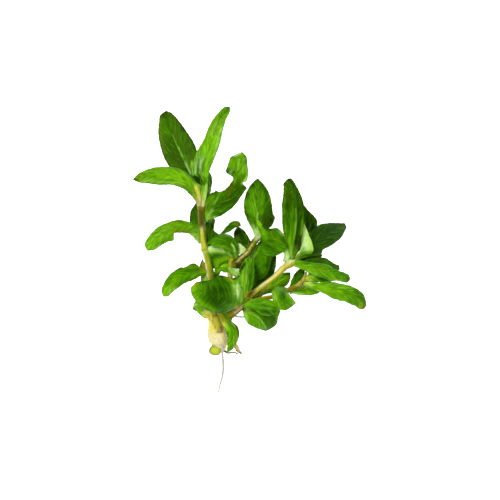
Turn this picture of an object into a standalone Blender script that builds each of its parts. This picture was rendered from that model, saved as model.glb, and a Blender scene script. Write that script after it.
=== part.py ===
"""A sprig of staurogyne, a bushy water plant, cut off and lying on its side on a flat surface.

The tables are in millimetres, looking down on the sprig: +X to its right, +Y from the root tip to the tip
of the tallest leaf, and +Z up from the surface. The origin is on the surface, under the middle of the
sprig. Four shoots leave one short pale rootstock: the main stem on the left, two longer side shoots and a
small one. Every leaf, every length of stem between two forks and every root is a solid of its own.
"""

import bpy
import numpy as np

MM = 0.001
LEAF_THICKNESS = 0.5
PETIOLE_THICKNESS = 1.0
PETIOLE_FADE = 8
EDGE_POWER = 4
TAPER_FROM = 0.85
TIP_SHARE = 0.6
STEM_SIDES = 8
ROOTSTOCK_SIDES = 14
ROOT_SIDES = 6
COLUMNS = np.array([1.0, 0.55, 0.0, -0.55, -1.0])
PATH_SAMPLES = 97
LEAF_ROUGHNESS = 0.45
STEM_ROUGHNESS = 0.6

LEAF_COLOURS = {
    "leaf_dark": (0.035, 0.12, 0.006, 1.0),
    "leaf_mid": (0.07, 0.26, 0.006, 1.0),
    "leaf_bright": (0.17, 0.44, 0.008, 1.0),
    "leaf_pale": (0.42, 0.75, 0.20, 1.0),
}
STEM_COLOURS = {
    "stem_green": (0.42, 0.40, 0.03, 1.0),
    "stem_straw": (0.75, 0.62, 0.20, 1.0),
    "stem_brown": (0.16, 0.10, 0.03, 1.0),
    "rootstock": (0.88, 0.72, 0.42, 1.0),
    "root": (0.72, 0.70, 0.66, 1.0),
}


def clear_scene():
    """Start from an empty scene."""
    for thing in list(bpy.data.objects):
        bpy.data.objects.remove(thing, do_unlink=True)


def plant_material(name, colour, roughness):
    """A plain material for one kind of plant tissue."""
    material = bpy.data.materials.new(name)
    material.use_nodes = True
    shader = material.node_tree.nodes["Principled BSDF"]
    shader.inputs["Base Color"].default_value = colour
    shader.inputs["Roughness"].default_value = roughness
    shader.inputs["Metallic"].default_value = 0.0
    return material


def make_materials():
    """One material for each kind of tissue, by name."""
    made = {}
    for name, colour in LEAF_COLOURS.items():
        made[name] = plant_material(name, colour, LEAF_ROUGHNESS)
    for name, colour in STEM_COLOURS.items():
        made[name] = plant_material(name, colour, STEM_ROUGHNESS)
    return made


def smooth_path(points):
    """A smooth curve through the points: cubic pieces whose slopes come from the neighbouring points."""
    points = np.array(points, float)
    steps = np.linalg.norm(np.diff(points[:, :3], axis=0), axis=1)
    places = np.concatenate([[0.0], np.cumsum(steps)])
    slopes = np.gradient(points, places, axis=0, edge_order=2)
    where = np.linspace(0.0, places[-1], PATH_SAMPLES)
    piece = np.clip(np.searchsorted(places, where, side="right") - 1, 0, len(steps) - 1)
    span = steps[piece][:, None]
    t = ((where - places[piece]) / steps[piece])[:, None]
    start, end = points[piece], points[piece + 1]
    start_slope, end_slope = slopes[piece] * span, slopes[piece + 1] * span
    return (
        start * (2 * t**3 - 3 * t**2 + 1)
        + start_slope * (t**3 - 2 * t**2 + t)
        + end * (3 * t**2 - 2 * t**3)
        + end_slope * (t**3 - t**2)
    )


def soft_steps(places, values, where):
    """Values between listed ones, level at each peak and dip, so that an outline never overshoots."""
    places, values = np.array(places, float), np.array(values, float)
    rises = np.diff(values) / np.diff(places)
    slopes = np.zeros(len(values))
    same_way = rises[:-1] * rises[1:] > 0
    total = np.where(same_way, rises[:-1] + rises[1:], 1.0)
    slopes[1:-1] = np.where(same_way, 2 * rises[:-1] * rises[1:] / total, 0.0)
    slopes[0], slopes[-1] = rises[0], rises[-1]
    piece = np.clip(np.searchsorted(places, where, side="right") - 1, 0, len(rises) - 1)
    span = np.diff(places)[piece]
    t = (where - places[piece]) / span
    return (
        values[piece] * (2 * t**3 - 3 * t**2 + 1)
        + slopes[piece] * span * (t**3 - 2 * t**2 + t)
        + values[piece + 1] * (3 * t**2 - 2 * t**3)
        + slopes[piece + 1] * span * (t**3 - t**2)
    )


def unit(vectors):
    """The vectors at length one."""
    return vectors / np.linalg.norm(vectors, axis=-1, keepdims=True)


def solid_object(name, vertices, faces, material):
    """Put one closed body into the scene, its faces pointing out."""
    mesh = bpy.data.meshes.new(name)
    mesh.from_pydata((np.array(vertices) * MM).tolist(), [], faces)
    mesh.materials.append(material)
    mesh.shade_smooth()
    body = bpy.data.objects.new(name, mesh)
    bpy.context.collection.objects.link(body)
    return body


def leaf(name, material, spine, halves, rise=(0.12, 0.12), curl=-0.1):
    """One leaf: a thin blade along its spine, from its base to its tip.

    halves lists (place along the spine, left half width, right half width) as seen from above. rise is how
    much the left and the right half climb towards the viewer for each millimetre of half width, and curl
    bends both edges, up where it is above zero and down where it is below.
    """
    halves = np.array(halves, float)
    curve = smooth_path(spine)
    along = np.concatenate([[0.0], np.cumsum(np.linalg.norm(np.diff(curve[:, :2], axis=0), axis=1))])
    along = along / along[-1]
    heading = np.gradient(curve, axis=0)
    sideways = unit(np.stack([-heading[:, 1], heading[:, 0]], axis=1))

    listed = halves[:, 0]
    rows = np.sort(np.concatenate([listed, (listed[:-1] + listed[1:]) / 2]))
    centre = np.stack([np.interp(rows, along, curve[:, k]) for k in range(3)], axis=1)
    across = unit(np.stack([np.interp(rows, along, sideways[:, k]) for k in range(2)], axis=1))
    left = soft_steps(listed, halves[:, 1], rows)
    right = soft_steps(listed, halves[:, 2], rows)

    reach = np.where(COLUMNS > 0, left[:, None], right[:, None]) * COLUMNS
    climb = np.where(COLUMNS > 0, rise[0], rise[1]) * np.abs(COLUMNS) + curl * COLUMNS**2
    grid = np.empty((len(rows), len(COLUMNS), 3))
    grid[:, :, :2] = centre[:, None, :2] + reach[:, :, None] * across[:, None, :]
    grid[:, :, 2] = centre[:, None, 2] + np.abs(reach) * climb / np.maximum(np.abs(COLUMNS), 0.01)

    down_blade = np.gradient(grid, axis=0)
    over_blade = np.gradient(grid, axis=1)
    facing = np.cross(over_blade, down_blade)
    facing[-1] = facing[-2]
    facing = unit(facing)
    thick = LEAF_THICKNESS + (PETIOLE_THICKNESS - LEAF_THICKNESS) * (1 - rows) ** PETIOLE_FADE
    tapered = thick * np.interp(rows, [TAPER_FROM, 1.0], [1.0, TIP_SHARE])
    half = 0.5 * tapered[:, None] * (1 - np.abs(COLUMNS) ** EDGE_POWER)
    top = grid + half[:, :, None] * facing
    under = grid - half[:, :, None] * facing

    last = len(rows) - 1
    width = len(COLUMNS)
    vertices = top[:last].reshape(-1, 3).tolist() + under[:last, 1:-1].reshape(-1, 3).tolist()
    vertices.append(grid[last, 2].tolist())
    tip = len(vertices) - 1
    upper = np.arange(last * width).reshape(last, width)
    lower = upper.copy()
    lower[:, 1:-1] = last * width + np.arange(last * (width - 2)).reshape(last, width - 2)

    faces = []
    for i in range(last - 1):
        for j in range(width - 1):
            faces.append([int(k) for k in (upper[i, j], upper[i, j + 1], upper[i + 1, j + 1], upper[i + 1, j])])
            faces.append([int(k) for k in (lower[i, j + 1], lower[i, j], lower[i + 1, j], lower[i + 1, j + 1])])
    for j in range(width - 1):
        faces.append([int(upper[-1, j]), int(upper[-1, j + 1]), tip])
        faces.append([int(lower[-1, j + 1]), int(lower[-1, j]), tip])
    faces.append([int(k) for k in upper[0, ::-1]] + [int(k) for k in lower[0, 1:-1]])
    return solid_object(name, vertices, faces, material)


def stalk(name, material, path, rings, sides=STEM_SIDES):
    """One length of stem or root: a round bar along a path of (x, y, z, radius), closed at both ends."""
    curve = smooth_path(path)
    steps = np.linalg.norm(np.diff(curve[:, :3], axis=0), axis=1)
    along = np.concatenate([[0.0], np.cumsum(steps)])
    where = np.linspace(0.0, along[-1], rings)
    centre = np.stack([np.interp(where, along, curve[:, k]) for k in range(4)], axis=1)
    heading = unit(np.gradient(centre[:, :3], axis=0))
    flat = unit(np.stack([-heading[:, 1], heading[:, 0], np.zeros(rings)], axis=1))
    high = np.cross(heading, flat)
    turns = np.linspace(0.0, 2 * np.pi, sides, endpoint=False)
    ring = np.cos(turns)[None, :, None] * flat[:, None, :] + np.sin(turns)[None, :, None] * high[:, None, :]
    vertices = centre[:, None, :3] + centre[:, None, 3:] * ring
    index = np.arange(rings * sides).reshape(rings, sides)
    following = np.roll(index, -1, axis=1)
    quads = np.stack([index[:-1], following[:-1], following[1:], index[1:]], axis=-1).reshape(-1, 4)
    faces = quads.tolist() + [index[0, ::-1].tolist(), index[-1].tolist()]
    return solid_object(name, vertices.reshape(-1, 3), faces, material)


def make_stems(look):
    """The stems, each a length between two forks, from the rootstock to the tops."""
    green, straw, brown = look["stem_green"], look["stem_straw"], look["stem_brown"]
    stalk("main_stem", green, [
        (-14.2, -25.8, 6.6, 2.0), (-14.6, -22.0, 7.3, 1.5), (-15.1, -15.5, 8.8, 1.25), (-15.6, -9.6, 10.2, 1.45),
        (-16.7, -4.2, 11.2, 1.3), (-17.95, 0.8, 12.2, 1.45), (-18.8, 5.2, 13.0, 1.2), (-19.2, 9.4, 13.7, 1.5),
        (-19.6, 13.6, 14.4, 1.3), (-19.7, 17.4, 15.0, 1.45)], rings=19)
    stalk("side_stem_low", straw, [
        (-11.3, -25.0, 7.5, 0.9), (-10.0, -21.0, 9.0, 0.9), (-8.8, -17.0, 10.4, 0.9),
        (-8.0, -12.8, 11.4, 0.95), (-7.7, -9.4, 12.1, 1.1), (-6.9, -7.9, 12.4, 1.2)], rings=9)
    stalk("side_stem_stub", brown, [
        (-6.1, -6.0, 13.0, 1.4), (-4.9, -5.6, 13.3, 2.0), (-3.4, -5.8, 13.4, 2.1),
        (-2.2, -6.4, 13.3, 1.4)], rings=5)
    stalk("side_stem_top", brown, [
        (-3.2, -2.8, 14.1, 0.8), (-1.2, -1.7, 14.3, 0.95), (0.8, 1.2, 14.7, 0.9), (3.2, 4.6, 15.3, 0.95),
        (4.3, 5.9, 15.6, 1.0)], rings=8)
    stalk("right_stem_low", brown, [
        (-9.5, -26.7, 6.9, 1.25), (-6.2, -24.5, 8.3, 1.1), (-3.4, -21.9, 9.9, 1.05),
        (-1.2, -19.5, 11.3, 1.2)], rings=7)
    stalk("right_stem_top", straw, [
        (-0.3, -18.2, 11.8, 1.1), (4.8, -14.0, 13.6, 1.1), (10.0, -10.0, 15.2, 1.2),
        (13.6, -6.8, 16.1, 1.2), (16.1, -4.4, 16.6, 1.3)], rings=10)
    stalk("small_stem", brown, [
        (1.4, -20.3, 10.6, 0.85), (4.8, -19.5, 11.0, 0.85), (8.8, -18.8, 11.4, 0.85), (12.4, -17.6, 11.8, 0.85),
        (15.2, -16.2, 12.3, 0.95), (18.0, -14.9, 12.9, 0.95), (20.1, -13.5, 13.4, 1.0), (21.2, -12.1, 13.8, 0.85),
        (22.3, -9.4, 14.6, 0.45)], rings=14)


def make_root_end(look):
    """The short pale rootstock with its cut end, the long root and the three rootlets."""
    pale, thin = look["rootstock"], look["root"]
    stalk("rootstock", pale, [
        (-13.7, -28.2, 5.8, 3.0), (-13.2, -31.0, 4.9, 3.9), (-12.9, -34.5, 4.2, 4.18),
        (-12.9, -37.4, 3.9, 3.8), (-12.9, -39.2, 3.7, 3.4), (-13.8, -40.7, 3.2, 2.7),
        (-14.0, -42.1, 3.0, 2.5)], 16, ROOTSTOCK_SIDES)
    stalk("long_root", thin, [
        (-11.2, -38.6, 8.0, 0.36), (-11.1, -40.6, 7.2, 0.4), (-11.0, -42.6, 5.0, 0.42), (-10.8, -45.0, 2.8, 0.42),
        (-10.7, -48.0, 1.2, 0.4), (-11.2, -51.0, 0.6, 0.36), (-12.0, -53.8, 0.38, 0.32),
        (-12.5, -56.8, 0.28, 0.24)], 16, ROOT_SIDES)
    stalk("rootlet_right", thin, [
        (-8.6, -37.2, 4.4, 0.4), (-6.6, -37.2, 4.6, 0.4), (-5.3, -38.6, 4.0, 0.5), (-4.6, -40.2, 3.2, 0.45),
        (-3.8, -41.2, 2.7, 0.3)], 8, ROOT_SIDES)
    stalk("rootlet_low", thin, [
        (-10.0, -41.3, 3.5, 0.45), (-8.6, -41.8, 3.2, 0.45), (-7.0, -41.4, 3.0, 0.3),
        (-5.4, -42.0, 2.6, 0.3)], 6, ROOT_SIDES)
    stalk("rootlet_stem", thin, [
        (-6.1, -26.4, 6.9, 0.3), (-5.2, -26.6, 6.8, 0.3), (-4.0, -26.8, 6.4, 0.28),
        (-2.4, -26.8, 6.0, 0.24)], 6, ROOT_SIDES)


def make_main_shoot_leaves(look):
    """The leaves of the main stem: four at its top, and pairs at the nodes below."""
    dark, mid, bright, pale = (look[n] for n in ("leaf_dark", "leaf_mid", "leaf_bright", "leaf_pale"))
    leaf("top_leaf_back", dark, [
        (-20.3, 18.8, 12.7), (-23.8, 30.5, 9.4), (-28.1, 39.4, 5.6), (-31.4, 47.1, 2.3), (-33.6, 55.6, 0.05)], [
        (0, 0.8, 0.8), (0.25, 3.6, 3.4), (0.4, 5.4, 5.4), (0.56, 6.2, 6.3), (0.77, 5.1, 5.2),
        (0.91, 3.3, 3.2), (0.97, 1.8, 1.6), (1, 0, 0)], rise=(0.15, 0.2))
    leaf("top_leaf_tall", bright, [
        (-18.5, 18.2, 16.4), (-18.1, 24.0, 18.3), (-18.2, 31.0, 19.7), (-17.6, 36.0, 20.2), (-15.6, 42.4, 20.3),
        (-13.4, 49.2, 19.4), (-8.0, 57.0, 17.2)], [
        (0, 0.8, 0.6), (0.15, 1.3, 1.2), (0.22, 1.9, 1.3), (0.28, 3.6, 1.6), (0.36, 4.9, 2.1), (0.47, 4.4, 2.6),
        (0.62, 3.2, 3.4), (0.76, 2.6, 3.0), (0.88, 2.3, 1.7), (0.96, 1.4, 0.5), (1, 0, 0)], rise=(0.3, 1.0))
    leaf("top_leaf_left", bright, [
        (-20.7, 18.4, 16.6), (-22.6, 23.2, 19.4), (-25.2, 26.6, 21.3), (-29.2, 29.2, 22.3), (-36.0, 29.7, 21.6),
        (-41.0, 29.6, 19.6), (-46.5, 28.2, 16.8)], [
        (0, 0.8, 0.8), (0.1, 1.4, 1.4), (0.25, 2.9, 2.9), (0.42, 3.3, 3.3), (0.65, 3.4, 3.4),
        (0.82, 2.7, 2.7), (0.93, 1.4, 1.5), (1, 0, 0)], rise=(-0.3, -0.2), curl=-0.3)
    leaf("top_bud_leaf", dark, [
        (-19.7, 19.2, 14.6), (-20.6, 24.0, 16.0), (-21.4, 27.6, 16.3), (-21.7, 30.2, 15.6)], [
        (0, 0.5, 0.5), (0.4, 1.9, 1.9), (0.7, 2.4, 2.3), (0.9, 1.5, 1.4), (1, 0, 0)], rise=(0.3, 0.3))
    leaf("top_leaf_sliver", dark, [
        (-17.7, 18.8, 13.2), (-16.4, 23.5, 11.6), (-16.0, 28.0, 10.0), (-16.4, 31.6, 8.6)], [
        (0, 0.5, 0.5), (0.4, 0.9, 0.9), (0.75, 0.9, 0.9), (1, 0, 0)], rise=(-0.4, -0.4))
    leaf("bitten_leaf_right", mid, [
        (-17.1, 12.2, 14.2), (-14.8, 16.6, 14.8), (-11.2, 19.6, 15.6), (-7.6, 23.2, 16.4), (-5.4, 28.0, 17.2),
        (-4.4, 33.6, 18.6), (-3.1, 39.2, 20.0)], [
        (0, 0.6, 0.6), (0.08, 1.6, 1.7), (0.17, 3.4, 3.4), (0.27, 5.4, 4.2), (0.34, 4.7, 4.5), (0.47, 2.0, 4.6),
        (0.565, 1.4, 4.9), (0.61, 1.4, 1.9), (0.655, 1.5, 4.3), (0.70, 2.7, 4.2), (0.74, 4.2, 3.9),
        (0.82, 4.4, 3.6), (0.89, 4.1, 2.8), (0.95, 2.4, 1.8), (1, 0, 0)], rise=(-0.1, 0.2))
    leaf("stem_leaf_behind", dark, [
        (-19.4, 8.6, 11.0), (-20.2, 14.0, 10.0), (-20.0, 20.4, 8.6)], [
        (0, 0.7, 0.7), (0.25, 3.4, 2.2), (0.55, 3.5, 2.6), (0.8, 2.2, 1.8), (1, 0, 0)])
    leaf("bitten_leaf_left", bright, [
        (-21.2, 8.6, 14.4), (-24.0, 9.2, 16.2), (-28.8, 9.0, 17.8), (-33.6, 7.2, 18.0), (-38.0, 4.0, 16.8),
        (-41.0, -0.4, 14.6)], [
        (0, 2.0, 0.9), (0.05, 2.9, 1.1), (0.13, 2.2, 1.5), (0.32, 1.8, 2.8), (0.43, 1.7, 2.9), (0.475, 3.7, 3.0),
        (0.6, 3.7, 3.4), (0.8, 3.1, 2.9), (0.93, 1.7, 1.7), (1, 0, 0)], rise=(-0.15, -0.15), curl=-0.25)
    leaf("node_leaf_dark", dark, [
        (-16.1, 1.9, 10.9), (-15.9, 6.0, 10.4), (-15.6, 9.2, 9.7), (-14.6, 11.8, 9.0)], [
        (0, 0.7, 0.7), (0.2, 1.8, 2.9), (0.42, 1.9, 2.7), (0.6, 1.7, 1.3), (0.85, 1.0, 0.6), (1, 0, 0)])
    leaf("node_leaf_underside", pale, [
        (-16.2, 0.5, 13.4), (-12.8, 0.5, 14.3), (-9.6, -0.4, 14.4), (-6.8, -2.6, 13.4)], [
        (0, 0.8, 1.6), (0.06, 0.9, 3.6), (0.2, 0.9, 5.8), (0.45, 0.8, 6.2), (0.65, 0.7, 5.0), (0.85, 0.5, 2.6),
        (1, 0, 0)], rise=(-1.0, -0.35))
    leaf("low_leaf_right", mid, [
        (-13.4, -9.0, 10.4), (-12.7, -6.6, 10.7), (-10.4, -5.9, 10.9), (-7.6, -5.4, 10.9)], [
        (0, 0.5, 0.5), (0.3, 0.8, 0.9), (0.5, 2.0, 2.2), (0.75, 2.0, 2.2), (0.93, 1.0, 1.1), (1, 0, 0)])
    leaf("low_leaf_left", mid, [
        (-17.9, -8.9, 10.8), (-21.6, -8.6, 12.4), (-25.2, -9.6, 13.2), (-29.2, -11.8, 12.8), (-32.4, -15.4, 11.4),
        (-34.5, -18.8, 10.0)], [
        (0, 0.8, 0.8), (0.1, 1.7, 1.6), (0.22, 2.5, 2.9), (0.34, 2.6, 2.8), (0.42, 2.7, 2.3), (0.62, 2.8, 3.2),
        (0.82, 1.7, 2.8), (0.94, 0.8, 1.4), (1, 0, 0)], rise=(-0.1, 0.1), curl=-0.15)
    leaf("low_leaf_behind", dark, [
        (-17.0, -10.6, 7.6), (-18.8, -8.0, 7.8), (-19.1, -3.4, 8.4)], [
        (0, 0.6, 0.6), (0.35, 1.6, 1.8), (0.7, 1.0, 1.4), (1, 0, 0)])
    leaf("low_leaf_drooping", pale, [
        (-18.1, -11.0, 9.2), (-19.0, -12.8, 8.9), (-20.0, -14.6, 8.6)], [
        (0, 0.6, 0.6), (0.4, 1.3, 1.2), (0.75, 1.1, 1.0), (1, 0, 0)])
    leaf("node_leaf_narrow", mid, [
        (-16.2, 2.9, 13.4), (-13.4, 4.7, 14.2), (-11.2, 6.4, 14.8), (-8.8, 8.8, 15.6), (-6.0, 10.7, 15.8),
        (-3.6, 9.6, 14.8)], [
        (0, 0.5, 0.5), (0.3, 0.6, 0.6), (0.5, 1.0, 1.0), (0.75, 1.2, 1.4), (0.9, 0.9, 0.9),
        (1, 0, 0)], rise=(-0.5, -0.2))


def make_root_end_leaves(look):
    """The leaves at the foot of the sprig."""
    dark, mid, bright, pale = (look[n] for n in ("leaf_dark", "leaf_mid", "leaf_bright", "leaf_pale"))
    leaf("round_leaf", dark, [
        (-5.2, -22.6, 12.4), (-7.8, -20.8, 16.6), (-10.8, -19.0, 18.6), (-16.8, -17.6, 19.4),
        (-23.7, -15.0, 17.6)], [
        (0, 0.8, 0.8), (0.06, 2.4, 2.2), (0.14, 5.0, 4.2), (0.3, 6.7, 6.6), (0.46, 6.9, 6.4), (0.66, 6.9, 4.9),
        (0.83, 3.9, 3.2), (0.94, 1.4, 1.4), (1, 0, 0)], rise=(-0.05, -0.05), curl=-0.25)
    leaf("foot_leaf_left", bright, [
        (-16.7, -26.6, 8.8), (-18.8, -24.4, 10.0), (-21.2, -23.0, 10.2), (-23.0, -23.6, 9.6)], [
        (0, 0.7, 0.7), (0.25, 1.9, 3.0), (0.6, 2.0, 4.6), (0.84, 0.9, 2.6), (0.95, 0.4, 0.6), (1, 0, 0)])
    leaf("foot_leaf_right", bright, [
        (-9.8, -28.4, 8.6), (-7.4, -30.8, 9.4), (-6.6, -34.0, 9.2), (-7.4, -37.6, 8.4), (-9.3, -40.8, 7.4)], [
        (0, 0.7, 0.7), (0.16, 1.6, 1.8), (0.45, 2.3, 2.2), (0.72, 2.1, 1.9), (0.9, 1.2, 1.0), (1, 0, 0)],
        rise=(-0.4, 0.1))
    leaf("hanging_leaf_small", pale, [
        (-4.4, -19.9, 12.6), (-5.0, -17.0, 13.8), (-5.8, -13.6, 14.6), (-6.0, -11.0, 14.0)], [
        (0, 0.6, 0.6), (0.3, 1.5, 1.4), (0.6, 1.8, 1.6), (0.85, 1.5, 1.4), (1, 0, 0)], rise=(0.3, 0.3))
    leaf("upright_leaf", bright, [
        (-1.9, -18.2, 14.0), (-1.3, -14.8, 15.6), (-1.3, -8.8, 16.6), (-1.6, -3.0, 16.0)], [
        (0, 0.7, 0.7), (0.22, 1.9, 1.9), (0.45, 2.6, 2.4), (0.62, 2.6, 2.5), (0.72, 1.2, 2.3),
        (0.88, 0.9, 1.6), (1, 0, 0)], rise=(0.3, 0.3))
    leaf("broad_leaf_behind", dark, [
        (0.8, -16.2, 10.2), (3.2, -11.2, 9.4), (5.6, -4.8, 8.4), (6.8, 3.0, 7.4)], [
        (0, 0.8, 0.8), (0.2, 3.6, 3.2), (0.45, 4.8, 4.8), (0.7, 4.4, 4.6), (0.88, 2.6, 3.0), (1, 0, 0)])
    leaf("lower_leaf_front", bright, [
        (-1.5, -21.6, 12.6), (3.2, -21.2, 14.0), (8.0, -22.0, 14.4), (12.4, -23.5, 13.4)], [
        (0, 0.8, 0.8), (0.18, 1.8, 2.2), (0.45, 2.0, 4.6), (0.7, 2.0, 4.4), (0.9, 1.2, 2.2),
        (1, 0, 0)], rise=(0.1, -0.1))
    leaf("lower_leaf_large", mid, [
        (-1.8, -23.3, 8.4), (0.2, -25.0, 9.2), (3.2, -27.2, 8.6), (5.8, -30.7, 5.8), (6.4, -32.5, 3.6)], [
        (0, 0.7, 0.7), (0.2, 3.0, 2.1), (0.4, 6.6, 3.2), (0.6, 8.4, 3.5), (0.8, 7.0, 2.6),
        (0.92, 4.2, 1.3), (1, 0, 0)], rise=(0.0, 0.1))
    leaf("leaf_under_stem", mid, [
        (0.6, -21.2, 8.8), (4.8, -16.6, 8.8), (10.4, -13.2, 8.6), (16.1, -9.0, 8.0)], [
        (0, 0.7, 0.7), (0.25, 2.6, 1.9), (0.55, 3.2, 3.2), (0.8, 2.6, 3.2), (0.93, 1.4, 2.0), (1, 0, 0)])


def make_side_shoot_leaves(look):
    """The leaves of the middle shoot."""
    dark, mid, bright, pale = (look[n] for n in ("leaf_dark", "leaf_mid", "leaf_bright", "leaf_pale"))
    leaf("oval_leaf", mid, [
        (4.2, 7.2, 16.2), (3.2, 11.2, 15.8), (2.9, 18.0, 14.8), (2.9, 24.0, 13.2), (2.9, 28.5, 11.4)], [
        (0, 0.8, 0.8), (0.08, 1.8, 3.8), (0.18, 3.4, 6.3), (0.27, 4.3, 6.9), (0.36, 4.9, 6.1), (0.52, 5.2, 5.7),
        (0.64, 4.8, 5.4), (0.79, 3.5, 3.7), (0.9, 1.9, 1.9), (1, 0, 0)], rise=(-0.05, 0.1))
    leaf("crossing_leaf", mid, [
        (15.2, -2.9, 17.4), (15.0, 0.0, 18.5), (12.3, 2.6, 19.9), (8.6, 5.6, 20.6), (4.8, 9.3, 19.9),
        (2.0, 13.0, 18.6)], [
        (0, 0.7, 0.7), (0.14, 2.0, 0.8), (0.28, 4.2, 2.4), (0.5, 4.8, 3.2), (0.66, 3.8, 2.9), (0.8, 1.7, 1.4),
        (0.92, 0.9, 0.8), (1, 0, 0)], rise=(0.0, -0.3), curl=-0.2)
    leaf("hanging_leaf_middle", mid, [
        (6.0, 4.2, 14.0), (6.1, 0.5, 14.8), (6.9, -3.4, 14.8), (7.2, -7.2, 13.8)], [
        (0, 0.7, 0.7), (0.18, 2.2, 2.2), (0.4, 2.6, 4.4), (0.62, 2.5, 5.0), (0.82, 2.0, 3.4),
        (0.94, 1.1, 1.6), (1, 0, 0)], rise=(0.1, -0.5))
    leaf("side_leaf_dark", dark, [
        (-0.9, 0.2, 12.2), (-3.2, 4.4, 11.4), (-5.3, 8.8, 10.2)], [
        (0, 0.7, 0.7), (0.25, 1.8, 1.4), (0.5, 2.4, 1.9), (0.75, 1.8, 1.4), (0.92, 0.9, 0.7), (1, 0, 0)])
    leaf("side_leaf_pale", pale, [
        (-2.0, -1.0, 12.9), (-3.4, 1.6, 13.6), (-4.7, 3.9, 13.5)], [
        (0, 0.6, 0.6), (0.4, 1.6, 1.6), (0.75, 1.2, 1.2), (1, 0, 0)])
    leaf("arching_leaf", mid, [
        (-5.5, -2.7, 15.4), (-6.0, 0.2, 17.2), (-8.4, 2.8, 18.2), (-12.6, 4.2, 17.6)], [
        (0, 0.8, 0.8), (0.2, 2.2, 1.3), (0.45, 3.8, 1.9), (0.7, 3.8, 1.9), (0.88, 2.6, 1.4),
        (1, 0, 0)], rise=(-0.2, -0.2), curl=-0.2)
    leaf("stub_leaf_pale", pale, [
        (-7.3, -10.1, 14.2), (-6.0, -9.0, 15.0), (-4.2, -8.9, 15.2)], [
        (0, 0.4, 0.4), (0.5, 1.2, 1.1), (0.8, 0.8, 0.8), (1, 0, 0)])


def make_right_shoot_leaves(look):
    """The leaves of the right shoot, gathered at its top."""
    dark, mid, bright, pale = (look[n] for n in ("leaf_dark", "leaf_mid", "leaf_bright", "leaf_pale"))
    leaf("spear_leaf", dark, [
        (17.0, -2.7, 18.2), (16.9, 0.5, 19.8), (17.9, 6.1, 21.3), (18.6, 12.1, 21.8), (18.6, 17.1, 21.6),
        (17.6, 23.7, 20.4), (15.1, 28.6, 18.6)], [
        (0, 0.8, 0.8), (0.1, 1.2, 1.8), (0.27, 3.2, 2.3), (0.46, 5.0, 3.0), (0.63, 5.3, 3.0), (0.83, 3.9, 1.6),
        (0.93, 2.4, 1.0), (1, 0, 0)], rise=(0.1, 0.5))
    leaf("right_leaf_behind", dark, [
        (18.6, -1.2, 12.8), (21.2, 4.8, 10.0), (22.4, 11.2, 7.4), (20.8, 18.8, 5.0)], [
        (0, 0.8, 0.8), (0.2, 3.0, 3.0), (0.45, 4.0, 3.9), (0.62, 3.8, 4.2), (0.82, 2.4, 2.6), (1, 0, 0)])
    leaf("right_leaf_pale", pale, [
        (19.0, -2.2, 17.0), (21.0, 0.4, 17.8), (21.7, 5.2, 18.2), (21.0, 11.2, 17.4)], [
        (0, 0.6, 0.6), (0.08, 0.8, 2.4), (0.15, 1.0, 4.0), (0.3, 1.2, 3.9), (0.55, 1.1, 2.7), (0.8, 0.8, 1.3),
        (1, 0, 0)], rise=(0.2, 0.2))
    leaf("right_leaf_dark", dark, [
        (19.0, -3.2, 14.9), (24.4, 1.8, 12.4), (30.8, 6.0, 7.6), (38.0, 10.4, 0.05)], [
        (0, 0.8, 0.8), (0.15, 3.0, 2.8), (0.35, 4.6, 4.3), (0.6, 4.9, 4.2), (0.8, 3.4, 3.4),
        (0.93, 2.0, 2.2), (0.98, 1.0, 1.5), (1, 0, 0)], rise=(0.05, 0.0))
    leaf("right_leaf_lobe", dark, [
        (19.4, -3.8, 12.6), (24.0, -2.5, 11.4), (29.0, -2.2, 9.2)], [
        (0, 0.7, 0.7), (0.3, 2.4, 2.0), (0.65, 2.6, 2.2), (0.88, 1.6, 1.4), (1, 0, 0)])
    leaf("right_leaf_bright", bright, [
        (18.2, -5.0, 17.3), (22.4, -6.6, 18.6), (28.0, -7.4, 19.2), (34.4, -9.4, 18.8), (39.8, -11.8, 17.4)], [
        (0, 0.8, 0.8), (0.12, 1.5, 1.6), (0.28, 1.9, 2.4), (0.44, 2.3, 2.3), (0.56, 2.6, 2.2), (0.62, 1.7, 2.2),
        (0.78, 1.6, 2.3), (0.92, 1.5, 1.6), (0.975, 0.9, 0.9), (1, 0, 0)], rise=(-0.2, -0.2), curl=-0.3)
    leaf("right_leaf_shaded", dark, [
        (19.0, -5.5, 14.4), (25.6, -5.5, 12.4), (31.2, -6.6, 9.4), (36.0, -7.9, 5.6)], [
        (0, 0.7, 0.7), (0.3, 2.0, 1.8), (0.6, 2.4, 2.0), (0.85, 1.6, 1.4), (1, 0, 0)])


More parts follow.
